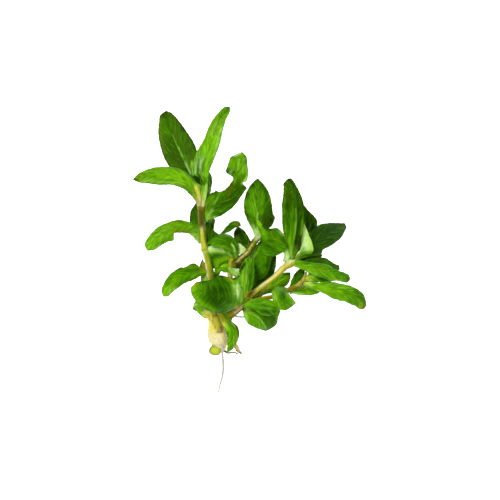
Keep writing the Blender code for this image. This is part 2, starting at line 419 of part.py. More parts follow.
def make_small_shoot_leaves(look):
    """The leaves of the small shoot, low on the right."""
    dark, mid, bright, pale = (look[n] for n in ("leaf_dark", "leaf_mid", "leaf_bright", "leaf_pale"))
    leaf("cupped_leaf", bright, [
        (11.6, -16.0, 14.4), (12.2, -18.8, 18.0), (13.8, -21.2, 19.6), (15.2, -23.4, 18.4)], [
        (0, 2.2, 2.2), (0.08, 3.3, 3.0), (0.4, 3.9, 3.4), (0.7, 3.7, 3.5), (0.9, 2.6, 2.4), (0.97, 1.5, 1.4),
        (1, 0, 0)], rise=(-0.1, 0.1), curl=-0.3)
    leaf("long_leaf_right", bright, [
        (22.2, -13.7, 15.0), (26.0, -14.6, 16.6), (32.0, -15.8, 17.2), (38.4, -17.6, 16.8), (43.2, -20.2, 15.2),
        (45.0, -23.8, 13.2)], [
        (0, 0.8, 0.8), (0.14, 1.4, 1.2), (0.36, 3.2, 2.4), (0.5, 3.2, 3.0), (0.6, 3.3, 2.3), (0.65, 3.4, 3.0),
        (0.8, 3.0, 2.6), (0.92, 2.1, 1.8), (0.975, 1.2, 1.1), (1, 0, 0)], rise=(-0.2, -0.1), curl=-0.3)
    leaf("small_leaf_low", mid, [
        (16.8, -16.9, 11.2), (20.4, -16.1, 11.4), (24.0, -16.0, 11.3), (28.4, -16.7, 10.8)], [
        (0, 0.6, 0.6), (0.25, 1.5, 1.6), (0.6, 1.8, 1.9), (0.85, 1.1, 1.1), (1, 0, 0)])
    leaf("small_leaf_dark", dark, [
        (16.3, -14.8, 10.4), (18.6, -12.0, 10.6), (21.0, -7.4, 10.0)], [
        (0, 0.6, 0.6), (0.3, 1.5, 1.7), (0.6, 1.7, 1.9), (0.85, 1.1, 1.2), (1, 0, 0)])
    leaf("small_leaf_between", mid, [
        (22.8, -11.6, 15.3), (26.8, -11.4, 15.4), (32.4, -11.7, 14.6)], [
        (0, 0.6, 0.6), (0.4, 1.4, 1.1), (0.7, 1.2, 1.0), (0.9, 0.7, 0.6), (1, 0, 0)])
    leaf("small_leaf_pale", pale, [
        (22.6, -12.7, 13.2), (24.0, -12.8, 13.6), (25.8, -13.4, 13.4)], [
        (0, 0.5, 0.5), (0.4, 1.0, 1.1), (0.75, 0.8, 0.8), (1, 0, 0)])


clear_scene()
looks = make_materials()
make_stems(looks)
make_root_end(looks)
make_main_shoot_leaves(looks)
make_root_end_leaves(looks)
make_side_shoot_leaves(looks)
make_right_shoot_leaves(looks)
make_small_shoot_leaves(looks)
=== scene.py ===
"""A sprig of staurogyne, a bushy water plant, lying on its side: its leaves, stems, roots and their looks.

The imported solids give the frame: metres, +X to the right, +Y from the root tip to the tip of the tallest
leaf, +Z up from the surface. The tables below began as the ones the solids came from, in millimetres, and
many outlines were then read again from the photograph. Each leaf, stem and root is worked out from them on a
much finer grid, with its ribs, veins, waves, scars and tints, and it takes the place of its plain solid.
"""

# %% [markdown]
# The plant is already there as plain closed solids. Loading them first gives every piece its place, so
# nothing has to be fitted by eye.

import bpy
import numpy as np
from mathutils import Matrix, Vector


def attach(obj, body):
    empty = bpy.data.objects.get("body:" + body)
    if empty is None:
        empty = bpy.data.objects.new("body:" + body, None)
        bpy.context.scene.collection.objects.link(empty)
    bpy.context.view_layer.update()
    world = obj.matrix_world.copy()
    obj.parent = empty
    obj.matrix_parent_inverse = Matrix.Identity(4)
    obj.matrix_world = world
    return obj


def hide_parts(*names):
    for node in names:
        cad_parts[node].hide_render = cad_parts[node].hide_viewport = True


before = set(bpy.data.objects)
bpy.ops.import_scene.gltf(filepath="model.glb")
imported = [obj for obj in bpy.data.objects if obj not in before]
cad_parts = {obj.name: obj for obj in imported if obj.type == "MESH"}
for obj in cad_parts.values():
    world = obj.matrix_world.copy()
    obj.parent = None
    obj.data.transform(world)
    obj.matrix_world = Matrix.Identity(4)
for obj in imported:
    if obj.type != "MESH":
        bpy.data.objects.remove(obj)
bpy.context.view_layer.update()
MM = 0.001

# %% [markdown]
# The picture looks straight down on the sprig. One photograph 200 mm wide is taken from four metres up with
# a very long lens, so near leaves look hardly larger than far ones, as in a cut-out studio shot.

# %% The camera, straight above
VIEW_WIDTH = 200 * MM
CAMERA_HEIGHT = 4000 * MM
PLANT_MIDDLE = 12 * MM
SENSOR = 36
lens = SENSOR * (CAMERA_HEIGHT - PLANT_MIDDLE) / VIEW_WIDTH
camera_data = bpy.data.cameras.new("camera")
camera_data.sensor_width = SENSOR
camera_data.lens = lens
camera = bpy.data.objects.new("camera", camera_data)
camera.location = (0, 0, CAMERA_HEIGHT)
bpy.context.collection.objects.link(camera)
bpy.context.scene.camera = camera
print("lens in mm:", round(lens, 1))

# %% [markdown]
# A product photograph of a plant is lit softly from all round, so that nothing but the leaves is seen. Here
# one soft key light comes from the upper left, two wide fills from the other sides, and a dim sky fills the
# rest. Together they are a little more than twice as bright as white needs. The floor therefore stays
# white where the leaves shade it, and the leaf tints further down are divided by the same LIGHT_GAIN.
# Each sun has the direction it comes from, its strength, and how wide it looks in degrees.

# %% The studio lights and the floor
LIGHT_GAIN = 2.2
SUNS = {
    "key": ((-0.5, 0.6, 1.0), 4.2, 22),
    "fill_right": ((0.8, -0.2, 0.7), 1.7, 60),
    "fill_low": ((-0.2, -0.9, 0.7), 1.7, 60),
}
SKY_STRENGTH = 0.5
for name, (direction, strength, angle) in SUNS.items():
    light = bpy.data.lights.new(name, "SUN")
    light.energy = strength
    light.angle = np.radians(angle)
    sun = bpy.data.objects.new(name, light)
    sun.rotation_euler = Vector(direction).to_track_quat("Z", "Y").to_euler()
    bpy.context.collection.objects.link(sun)
world = bpy.data.worlds.new("sky")
world.use_nodes = True
world.node_tree.nodes["Background"].inputs["Strength"].default_value = SKY_STRENGTH
world.node_tree.nodes["Background"].inputs["Color"].default_value = (1, 1, 1, 1)
bpy.context.scene.world = world
bpy.context.scene.view_settings.view_transform = "Standard"

FLOOR_SIDE = 3.0
floor_mesh = bpy.data.meshes.new("floor")
corners = np.array([(-1, -1, 0), (1, -1, 0), (1, 1, 0), (-1, 1, 0)]) * FLOOR_SIDE / 2
floor_mesh.from_pydata(corners.tolist(), [], [(0, 1, 2, 3)])
floor = bpy.data.objects.new("floor", floor_mesh)
bpy.context.collection.objects.link(floor)
print("lights:", [name for name in SUNS])

# %% [markdown]
# Every tint of the plant is named once, as it looks in the photograph, in the hex numbers that picture
# programs show. So the tints already hold light and shade. Many marks further down use the dark ones as
# painted shade and painted shadows, and the pale ones as painted highlights and painted light. Light adds up
# in linear numbers, so one function turns the hex numbers into those.

# %% The palette
SHADES = {
    "ink": "#062a00",
    "deep": "#123e00",
    "dark": "#1f5200",
    "moss": "#306a02",
    "mid": "#3e8202",
    "leaf": "#4e9602",
    "fresh": "#64a802",
    "bright": "#78b802",
    "lime": "#88d414",
    "pale": "#b6ea64",
    "milk": "#daf8a4",
    "grey": "#80b652",
    "sage": "#5c9440",
    "vein": "#9ed644",
    "olive": "#6c7c0c",
    "ochre": "#a8a818",
    "pear": "#c6c82c",
    "pith": "#d8ee18",
    "straw": "#e4dc78",
    "cream": "#f8eeb4",
    "butter": "#f4e858",
    "peach": "#fae2a8",
    "tan": "#b09838",
    "rust": "#98720c",
    "brown": "#565206",
    "edge": "#3a4a04",
    "bark": "#2c2c08",
    "root": "#ccc8ba",
}


def linear(hex_code):
    """The three linear numbers of an sRGB hex colour: each part is a power of 2.4 above a short ramp."""
    parts = np.array([int(hex_code[k : k + 2], 16) for k in (1, 3, 5)]) / 255
    return np.where(parts <= 0.04045, parts / 12.92, ((parts + 0.055) / 1.055) ** 2.4)


def tissue(shade):
    """The colour that a tissue itself must have to look like the named shade under these lights."""
    return linear(SHADES[shade]) / LIGHT_GAIN


print("shades:", len(SHADES), "for example mid:", np.round(tissue("mid"), 3))

# %% [markdown]
# One small function adds a node to a material, with its settings and its links, and every pattern below is
# made with it.

# %% A helper for materials
def add(tree, kind, inputs=None, **settings):
    """Add one node: settings are its own properties, and inputs are numbers, colours or linked sockets.

    kind is Blender's name for the node's type, without the word ShaderNode that all of them start with.
    """
    node = tree.nodes.new("ShaderNode" + kind)
    for key, value in settings.items():
        setattr(node, key, value)
    for key, value in (inputs or {}).items():
        if isinstance(value, bpy.types.NodeSocket):
            tree.links.new(value, node.inputs[key])
        else:
            node.inputs[key].default_value = value
    return node


def new_material(name):
    """An empty material with its node tree and its shader."""
    material = bpy.data.materials.new(name)
    material.use_nodes = True
    return material, material.node_tree, material.node_tree.nodes["Principled BSDF"]


def colour(shade):
    """A named shade as a material's colour socket takes it."""
    return (*tissue(shade), 1.0)


print("material helpers ready, for example", [round(part, 3) for part in colour("leaf")])

# %% [markdown]
# The sprig lies on a matt white board that is also lit softly from below, like a light table. The glow lifts
# the faint shadows that the leaves throw, so the ground stays white right up to the plant.

# %% The white board
FLOOR_WHITE = 0.93
FLOOR_GLOW = 0.8
floor_material, _, floor_shader = new_material("matt_white_board")
floor_shader.inputs["Base Color"].default_value = (FLOOR_WHITE, FLOOR_WHITE, FLOOR_WHITE, 1)
floor_shader.inputs["Roughness"].default_value = 1.0
floor_shader.inputs["Specular IOR Level"].default_value = 0.0
floor_shader.inputs["Emission Color"].default_value = (1, 1, 1, 1)
floor_shader.inputs["Emission Strength"].default_value = FLOOR_GLOW
floor_mesh.materials.append(floor_material)
print("floor material:", floor_material.name)

# %% [markdown]
# A leaf blade is a sheet of green cells under a thin waxy skin. The wax gives it a soft satin shine, with an
# IOR of about 1.45. The midrib and the side veins carry water, hold less green and look paler, and a fine net
# of veinlets closes the fields between them. The edge dries out first, so a hair-thin brown line runs round
# it.
#
# These lines follow the blade and not the room, so each leaf mesh brings them along as numbers on its
# points: "lines" holds the place between two side veins, the distance from the midrib in half widths of
# that rib, and the distance from the edge in millimetres. "blade" holds the distance along the side veins and
# across them in millimetres, for long soft streaks, and "tint" holds the leaf's own colours.
#
# Real sizes set the patterns. The fields between veinlets are 0.9 mm across and the mottled patches a little
# over 2 mm. Single cells are a twentieth of a millimetre and wouldn't show, so their grain is drawn five
# times as coarse.

# %% The sizes of a leaf's patterns
VEINLET_FIELD = 0.9 * MM
MOTTLE_SIZE = 2.2 * MM
GRAIN_SIZE = 0.25 * MM
STREAK_ACROSS = 0.6
STREAK_ALONG = 4.5
SPAN = {"From Min": 0.3, "From Max": 0.7}
SOFT = {"interpolation_type": "SMOOTHSTEP"}
print("leaf patterns in mm:", [round(size / MM, 2) for size in (VEINLET_FIELD, MOTTLE_SIZE, GRAIN_SIZE)])

# %% [markdown]
# A side vein is drawn where a wave with one crest for each vein rises over VEIN_CREST, and it fades near the
# edge, over VEIN_FADE in millimetres. The midrib is soft at its rim. The veinlets run where the cells of a
# Voronoi pattern meet, and fade out within a tenth of a millimetre to each side.

# %% Veins, midrib and veinlets
VEIN_CREST = 0.78
VEIN_FADE = (0.2, 1.6)
RIB_RIM = (1.25, 0.5)
VEINLET_RIM = 0.12


def vein_pattern(tree, parts, place):
    """Where veins run, each a share from 0 to 1: the side veins, the midrib and the net of veinlets."""
    turn = add(tree, "Math", {0: parts["X"], 1: 2 * np.pi}, operation="MULTIPLY").outputs[0]
    wave = add(tree, "Math", {0: turn}, operation="COSINE").outputs[0]
    vein = add(tree, "MapRange", {"Value": wave, "From Min": VEIN_CREST, "From Max": 1.0}, **SOFT)
    inside = add(tree, "MapRange", {"Value": parts["Z"], "From Min": VEIN_FADE[0],
                                    "From Max": VEIN_FADE[1]}, **SOFT)
    vein = add(tree, "Math", {0: vein.outputs["Result"], 1: inside.outputs["Result"]}, operation="MULTIPLY")
    off_rib = add(tree, "Math", {0: parts["Y"]}, operation="ABSOLUTE").outputs[0]
    rib = add(tree, "MapRange", {"Value": off_rib, "From Min": RIB_RIM[0], "From Max": RIB_RIM[1]}, **SOFT)
    net = add(tree, "TexVoronoi", {"Vector": place, "Scale": 1 / VEINLET_FIELD}, feature="DISTANCE_TO_EDGE")
    net = add(tree, "MapRange", {"Value": net.outputs["Distance"], "From Min": VEINLET_RIM,
                                 "From Max": 0.0}, **SOFT)
    return vein.outputs[0], rib.outputs["Result"], net.outputs["Result"]


print("vein pattern ready, veins fade over", VEIN_FADE, "mm")

# %% [markdown]
# Between the veins the green varies in two ways: in soft patches, and in long thin streaks that run along
# the side veins. Both make the leaf's own tint lighter or darker, and the brightest streaks look like fine
# veins themselves.

# %% Patches and streaks
LIGHT_STREAKS = {"From Min": 0.52, "From Max": 0.72}


def green_pattern(tree, patch, net, mottle, streaks):
    """How light the green is, about 1, and where the brightest streaks lie, from 0 to streaks."""
    level = add(tree, "MapRange", {"Value": patch, "To Min": 1 - mottle, "To Max": 1 + mottle, **SPAN})
    blade = add(tree, "Attribute", attribute_name="blade").outputs["Vector"]
    drawn = add(tree, "VectorMath", {0: blade, 1: (1 / STREAK_ALONG, 1 / STREAK_ACROSS, 1.0)},
                operation="MULTIPLY").outputs["Vector"]
    streak = add(tree, "TexNoise", {"Vector": drawn, "Scale": 1.0, "Detail": 2.0}).outputs["Fac"]
    streaky = add(tree, "MapRange", {"Value": streak, "To Min": -streaks, "To Max": 0.6 * streaks, **SPAN})
    light = add(tree, "MapRange", {"Value": streak, "To Max": streaks, **LIGHT_STREAKS}, **SOFT)
    level = add(tree, "Math", {0: net, 1: -0.5 * mottle, 2: level.outputs[0]}, operation="MULTIPLY_ADD")
    level = add(tree, "Math", {0: level.outputs[0], 1: streaky.outputs["Result"]}, operation="ADD")
    return level.outputs[0], light.outputs["Result"]


print("green pattern ready, streaks", STREAK_ACROSS, "by", STREAK_ALONG, "mm")

# %% [markdown]
# The whole material takes the leaf's tint, makes it lighter and darker, then paler towards the veins and
# brown at the rim. The skin dips along veins, and its gloss varies a little from patch to patch. Old leaves
# are satin with a dry dark rim, young ones are glossier, and undersides are duller with hardly a streak.

# %% The leaf materials
EDGE_LINE = 0.35
EDGE_SHARE = 0.75
VEIN_SHOWS = {"From Min": 0.4, "From Max": 0.65, "To Min": 0.04, "To Max": 0.3}
VEIN_DIP = -0.6
VEINLET_DIP = -0.5
SKIN_RELIEF = 0.35
SKIN_DEPTH = 0.08 * MM
GLOSS_SPREAD = 0.08
WAX_IOR = 1.45
WAX_SHINE = 0.2
WAX_TINT = (0.5, 1.0, 0.03, 1.0)


def leaf_material(name, roughness, vein_light, mottle, streaks, vein_shade, edge_shade):
    """Leaf tissue: the leaf's tint, mottled, with paler ribs and veins, a veinlet net and a dark edge line.

    vein_light is how far ribs and veins go towards vein_shade, mottle and streaks how much the green varies
    in patches and in long lines, and edge_shade the dried edge's colour.
    """
    material, tree, shader = new_material(name)
    tint = add(tree, "Attribute", attribute_name="tint").outputs["Color"]
    lines = add(tree, "Attribute", attribute_name="lines").outputs["Vector"]
    parts = add(tree, "SeparateXYZ", {0: lines}).outputs
    strength = add(tree, "Attribute", attribute_name="rib_light").outputs["Fac"]
    place = add(tree, "TexCoord").outputs["Object"]
    patches = add(tree, "TexNoise", {"Vector": place, "Scale": 1 / MOTTLE_SIZE, "Detail": 4.0})
    patch = patches.outputs["Fac"]
    vein, rib, net = vein_pattern(tree, parts, place)
    level, light = green_pattern(tree, patch, net, mottle, streaks)
    body = add(tree, "HueSaturation", {"Color": tint, "Value": level}).outputs["Color"]

    seen = add(tree, "MapRange", {"Value": patch, **VEIN_SHOWS}).outputs["Result"]
    vein_share = add(tree, "Math", {0: vein, 1: seen}, operation="MULTIPLY").outputs[0]
    share = rib
    for other, operation in ((strength, "MULTIPLY"), (vein_share, "MAXIMUM"), (light, "MAXIMUM"),
                             (vein_light, "MULTIPLY")):
        share = add(tree, "Math", {0: share, 1: other}, operation=operation).outputs[0]
    veined = add(tree, "Mix", {0: share, 6: body, 7: colour(vein_shade)}, data_type="RGBA").outputs[2]
    edge = add(tree, "MapRange", {"Value": parts["Z"], "From Min": EDGE_LINE, "From Max": 0.0,
                                  "To Max": EDGE_SHARE}, **SOFT).outputs["Result"]
    edged = add(tree, "Mix", {0: edge, 6: veined, 7: colour(edge_shade)}, data_type="RGBA")

    height = add(tree, "TexNoise", {"Vector": place, "Scale": 1 / GRAIN_SIZE, "Detail": 2.0}).outputs["Fac"]
    for dips, depth in ((vein, VEIN_DIP), (net, VEINLET_DIP)):
        height = add(tree, "Math", {0: dips, 1: depth, 2: height}, operation="MULTIPLY_ADD").outputs[0]
    bump = add(tree, "Bump", {"Height": height, "Strength": SKIN_RELIEF, "Distance": SKIN_DEPTH})
    gloss = add(tree, "MapRange", {"Value": patch, "To Min": roughness - GLOSS_SPREAD,
                                   "To Max": roughness + GLOSS_SPREAD}).outputs["Result"]
    tree.links.new(edged.outputs[2], shader.inputs["Base Color"])
    tree.links.new(gloss, shader.inputs["Roughness"])
    tree.links.new(bump.outputs["Normal"], shader.inputs["Normal"])
    shader.inputs["IOR"].default_value = WAX_IOR
    shader.inputs["Specular IOR Level"].default_value = WAX_SHINE
    shader.inputs["Specular Tint"].default_value = WAX_TINT
    return material


leaf_looks = {
    "leaf_dark": leaf_material("old_leaf_blade", 0.42, 0.6, 0.12, 0.42, "fresh", "bark"),
    "leaf_mid": leaf_material("grown_leaf_blade", 0.42, 0.6, 0.12, 0.44, "bright", "dark"),
    "leaf_bright": leaf_material("young_leaf_blade", 0.38, 0.6, 0.1, 0.4, "vein", "leaf"),
    "leaf_pale": leaf_material("leaf_underside", 0.55, 0.6, 0.07, 0.14, "vein", "olive"),
}
print("leaf materials:", [material.name for material in leaf_looks.values()])

# %% [markdown]
# Stems are round bundles of long fibres under a thin skin. Young ones are yellow-green and smooth, older ones
# dry to straw, and the oldest turn to brown, cracked bark. All of them show fine lengthwise streaks, so their
# pattern runs on "lines", here the distance along the stem and round it in millimetres, stretched lengthwise.
# One real fibre is too thin to show, so a streak is a bundle of them, a third of a millimetre wide.

# %% The stem and root materials
FIBRE_WIDTH = 0.35
FIBRE_STRETCH = 0.12
FIBRE_DEPTH = 0.15 * MM
WORN_PER_MM = 0.9
STEM_SHINE = 0.15
STEM_TINT = (0.9, 1.0, 0.2, 1.0)


def stem_material(name, roughness, streaks, relief):
    """Stem tissue: the stem's tint with lengthwise fibres. streaks is how dark they get, relief how deep."""
    material, tree, shader = new_material(name)
    tint = add(tree, "Attribute", attribute_name="tint").outputs["Color"]
    lines = add(tree, "Attribute", attribute_name="lines").outputs["Vector"]
    along = add(tree, "VectorMath", {0: lines, 1: (FIBRE_STRETCH, 1.0, 1.0)}, operation="MULTIPLY")
    fibre = add(tree, "TexNoise", {"Vector": along.outputs["Vector"], "Scale": 1 / FIBRE_WIDTH,
                                   "Detail": 4.0}).outputs["Fac"]
    spots = add(tree, "TexNoise", {"Vector": lines, "Scale": WORN_PER_MM, "Detail": 3.0}).outputs["Fac"]
    level = add(tree, "MapRange", {"Value": fibre, "From Min": 0.35, "From Max": 0.65,
                                   "To Min": 1 - streaks, "To Max": 1 + 0.4 * streaks})
    worn = add(tree, "MapRange", {"Value": spots, "To Min": 0.9, "To Max": 1.08, **SPAN})
    level = add(tree, "Math", {0: level.outputs["Result"], 1: worn.outputs["Result"]}, operation="MULTIPLY")
    body = add(tree, "HueSaturation", {"Color": tint, "Value": level.outputs[0]}).outputs["Color"]
    bump = add(tree, "Bump", {"Height": fibre, "Strength": relief, "Distance": FIBRE_DEPTH})
    tree.links.new(body, shader.inputs["Base Color"])
    tree.links.new(bump.outputs["Normal"], shader.inputs["Normal"])
    shader.inputs["Roughness"].default_value = roughness
    shader.inputs["Specular IOR Level"].default_value = STEM_SHINE
    shader.inputs["Specular Tint"].default_value = STEM_TINT
    return material


stem_looks = {
    "stem_green": stem_material("green_stem_skin", 0.45, 0.18, 0.4),
    "stem_straw": stem_material("dried_stem_skin", 0.5, 0.15, 0.5),
    "stem_brown": stem_material("brown_stem_bark", 0.7, 0.35, 0.9),
    "rootstock": stem_material("moist_rootstock_flesh", 0.4, 0.07, 0.3),
    "root": stem_material("bare_root_skin", 0.5, 0.12, 0.4),
}
print("stem materials:", [material.name for material in stem_looks.values()])

# %% [markdown]
# Leaves and stems all follow a curve through a few points. Cubic pieces through the points bend smoothly,
# like a real stalk, and a second kind of step keeps an outline from bulging past the listed widths.

# %% Curves through listed points
PATH_SAMPLES = 241


def cubic(start, end, start_slope, end_slope, t):
    """The cubic from start to end with these slopes, at t from 0 to 1."""
    return (
        start * (2 * t**3 - 3 * t**2 + 1)
        + start_slope * (t**3 - 2 * t**2 + t)
        + end * (3 * t**2 - 2 * t**3)
        + end_slope * (t**3 - t**2)
    )


def smooth_path(points):
    """A curve through the points: cubic pieces whose slopes come from the neighbouring points."""
    points = np.array(points, float)
    steps = np.linalg.norm(np.diff(points[:, :3], axis=0), axis=1)
    places = np.concatenate([[0.0], np.cumsum(steps)])
    slopes = np.gradient(points, places, axis=0, edge_order=2)
    where = np.linspace(0.0, places[-1], PATH_SAMPLES)
    piece = np.clip(np.searchsorted(places, where, side="right") - 1, 0, len(steps) - 1)
    span = steps[piece][:, None]
    t = ((where - places[piece]) / steps[piece])[:, None]
    return cubic(points[piece], points[piece + 1], slopes[piece] * span, slopes[piece + 1] * span, t)


def soft_steps(places, values, where):
    """Values between listed ones, level at each peak and dip, so that an outline never overshoots."""
    places, values = np.array(places, float), np.array(values, float)
    rises = np.diff(values) / np.diff(places)
    slopes = np.zeros(len(values))
    same_way = rises[:-1] * rises[1:] > 0
    total = np.where(same_way, rises[:-1] + rises[1:], 1.0)
    slopes[1:-1] = np.where(same_way, 2 * rises[:-1] * rises[1:] / total, 0.0)
    slopes[0], slopes[-1] = rises[0], rises[-1]
    piece = np.clip(np.searchsorted(places, where, side="right") - 1, 0, len(rises) - 1)
    span = np.diff(places)[piece]
    t = (where - places[piece]) / span
    return cubic(values[piece], values[piece + 1], slopes[piece] * span, slopes[piece + 1] * span, t)


def unit(vectors):
    """The vectors at length one."""
    return vectors / np.maximum(np.linalg.norm(vectors, axis=-1, keepdims=True), 1e-9)


def crowded(count, pull=0.5):
    """Places from 0 to 1 that stand closer at both ends: t - pull * sin(2 pi t) / (2 pi)."""
    t = np.linspace(0.0, 1.0, count)
    return t - pull * np.sin(2 * np.pi * t) / (2 * np.pi)


def wobble(where, size, seed):
    """A soft uneven wave between about -1 and 1, bumps about size apart: three sines of seeded starts."""
    starts = np.random.default_rng(seed).uniform(0, 2 * np.pi, 3)
    beats = 2 * np.pi / (size * np.array([1.0, 0.61, 0.37]))
    parts = (0.5, 0.3, 0.2)
    return sum(np.sin(where * beat + start) * part for beat, start, part in zip(beats, starts, parts))


def own_seed(name):
    """A number that belongs to a name: each letter's code times its place, added up."""
    return sum(ord(letter) * (place + 1) for place, letter in enumerate(name))


print("a wobble:", np.round(wobble(np.arange(4.0), 5.0, 1), 2))

# %% [markdown]
# Colour goes on like watercolour: a body shade for each half, then soft marks. Both carry painted light as
# well as the piece's own colour. Where the halves differ, one is often painted lit and the other painted in
# shade. Many dark marks paint shade and the shadows that other leaves throw, and many pale marks paint
# highlights and light up places that the lamps leave in shadow. The others give the piece's own scars,
# streaks and tips. A mark is a brush stroke between two places, and its colour fades with distance from the
# stroke like a bell curve. Places are given along the piece from 0 to 1 and across it from 1 on its left to
# -1 on its right, the width in millimetres.

# %% A soft brush
def brushed(tint, x, y, marks, length, half_left, half_right):
    """Lay each mark over the tint: share = strength * exp(-(distance / width) squared).

    x and y are each point's distances along and across in millimetres. half_left and half_right give the
    half widths at a place along the piece.
    """
    for shade, from_u, from_v, to_u, to_v, width, strength in marks:
        ends = []
        for u, v in ((from_u, from_v), (to_u, to_v)):
            half = half_left(u) if v > 0 else half_right(u)
            ends.append(np.array([u * length, v * half]))
        stretch = ends[1] - ends[0]
        t = ((x - ends[0][0]) * stretch[0] + (y - ends[0][1]) * stretch[1]) / max(stretch @ stretch, 1e-6)
        t = np.clip(t, 0, 1)
        off = np.hypot(x - ends[0][0] - t * stretch[0], y - ends[0][1] - t * stretch[1])
        share = strength * np.exp(-((off / width) ** 2))
        tint = tint + share[..., None] * (tissue(shade) - tint)
    return tint


made = []


def store(mesh, name, kind, key, values):
    """Keep one painted number, colour or vector for each point of the mesh."""
    packed = np.asarray(values, np.float32).ravel()
    mesh.attributes.new(name, kind, "POINT").data.foreach_set(key, packed)


def put(name, node, material, vertices, faces, tint, lines, blade=None, rib_light=None):
    """Make one finished piece from its points, faces and painted numbers, in the place of its solid."""
    mesh = bpy.data.meshes.new(name)
    mesh.from_pydata((np.asarray(vertices) * MM).tolist(), [], faces)
    mesh.validate()
    mesh.shade_smooth()
    mesh.materials.append(material)
    count = len(mesh.vertices)
    tints = np.ones((count, 4), np.float32)
    tints[:, :3] = tint
    store(mesh, "tint", "FLOAT_COLOR", "color", tints)
    store(mesh, "lines", "FLOAT_VECTOR", "vector", lines)
    if blade is not None:
        store(mesh, "blade", "FLOAT_VECTOR", "vector", blade)
        store(mesh, "rib_light", "FLOAT", "value", np.full(count, rib_light))
    piece = bpy.data.objects.new(name, mesh)
    bpy.context.collection.objects.link(piece)
    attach(piece, "root")
    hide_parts(node)
    made.append(piece)
    return piece


def count_made():
    """Print how many pieces and faces there are by now."""
    print("pieces so far:", len(made), "faces:", sum(len(piece.data.polygons) for piece in made))


print("brush and piece maker ready")

# %% [markdown]
# A leaf could be a flat cut-out with a picture on it, but it would look like paper from the side. Here it is
# a closed shell: a fine grid over the blade for its upper side and one for its under side, which meet at a
# rounded edge. The midrib is a groove above and a ridge below, the fields between the side veins bulge a
# little, and the edge waves. All sizes here are in millimetres.
#
# Every leaf starts as a row of places along its spine. They stand closer at both ends, where the outline
# turns fast, and two more rows carry the stalk on into its node.

# %% Rows along a leaf
ROWS_PER_MM = 3.0
ROW_LIMITS = (36, 110)
ROW_PULL = 0.35
HALF_COLUMNS = 18
COLUMN_PULL = 0.6
half_columns = crowded(HALF_COLUMNS, COLUMN_PULL)
across = np.concatenate([half_columns[::-1], -half_columns[1:]])


def leaf_rows(spine, root):
    """A leaf's length, its rows' places from 0 at the foot to 1 at the tip, and their centres and left sides.

    Centres lie on the smooth curve through the spine's points, and before the foot on a straight line for
    root millimetres.
    """
    curve = smooth_path(spine)
    along = np.concatenate([[0.0], np.cumsum(np.linalg.norm(np.diff(curve[:, :2], axis=0), axis=1))])
    length = along[-1]
    along = along / length
    heading = np.gradient(curve, axis=0)
    sideways = unit(np.stack([-heading[:, 1], heading[:, 0]], axis=1))
    rows = crowded(int(np.clip(length * ROWS_PER_MM, *ROW_LIMITS)), ROW_PULL)
    rows = np.concatenate([[-root / length, -0.5 * root / length], rows])
    centre = np.stack([np.interp(rows, along, curve[:, k]) for k in range(3)], axis=1)
    centre += np.minimum(rows, 0)[:, None] * length * unit(heading[0])
    beside = unit(np.stack([np.interp(rows, along, sideways[:, k]) for k in range(2)], axis=1))
    return length, rows, centre, beside


print("columns across a leaf:", len(across))

# %% [markdown]
# Both sides stand off the middle of the blade. It is about a third of a millimetre thick, and where it
# narrows into its stalk it thickens to one. The quilt between the side veins lifts both sides together.

# %% The relief of both sides
BLADE_THICKNESS = 0.36
PETIOLE_THICKNESS = 1.0
PETIOLE_FADE = 8
QUILT = 0.05
GROOVE = 0.12
RIDGE = 0.25
RIB_HALF_WIDTHS = (0.55, 0.34, 0.14)


def leaf_relief(rows, v, side, phase):
    """How far the upper and the under side stand off the middle, and the midrib's half width in each row.

    Above: (thickness / 2 - groove * bell) * rounding + quilt. Below: (thickness / 2 + ridge * bell) *
    rounding - quilt. The bell falls off with side, the distance from the midrib, and the quilt is a cosine of
    phase, the place between two side veins.
    """
    blade = np.clip((rows - 0.06) / 0.1, 0, 1)[:, None]
    quilt = -QUILT * np.cos(2 * np.pi * phase) * np.clip(side / 1.0, 0, 1) * (1 - v**6) * blade
    rib_half = np.interp(rows, [0, 0.15, 1], RIB_HALF_WIDTHS)[:, None]
    bell = np.exp(-((side / rib_half) ** 2)) * blade
    petiole_share = (1 - np.maximum(rows, 0)[:, None]) ** PETIOLE_FADE
    thick = BLADE_THICKNESS + (PETIOLE_THICKNESS - BLADE_THICKNESS) * petiole_share
    thick = thick * np.interp(rows, [0.85, 1.0], [1.0, 0.6])[:, None]
    rounding = np.sqrt(1 - np.abs(v) ** (7 - 4.5 * petiole_share))
    above = (0.5 * thick - GROOVE * bell) * rounding + quilt
    below = (0.5 * thick + RIDGE * np.interp(rows, [0, 1], [1, 0.3])[:, None] * bell) * rounding - quilt
    return above, below, rib_half


print("blade and stalk thickness in mm:", BLADE_THICKNESS, PETIOLE_THICKNESS)

# %% [markdown]
# The shell's points are numbered row by row: the upper side's first, then the under side's without the rims
# that both share, and last the one point of the tip. So every seam is closed.

# %% A closed shell from two grids
def shell_points(upper_side, under_side, end_row):
    """The upper side's points, the under side's without the shared rims, and the last row's middle point."""
    return np.concatenate([upper_side[:-1].reshape(-1, 3), under_side[:-1, 1:-1].reshape(-1, 3),
                           end_row[-1, end_row.shape[1] // 2][None]])


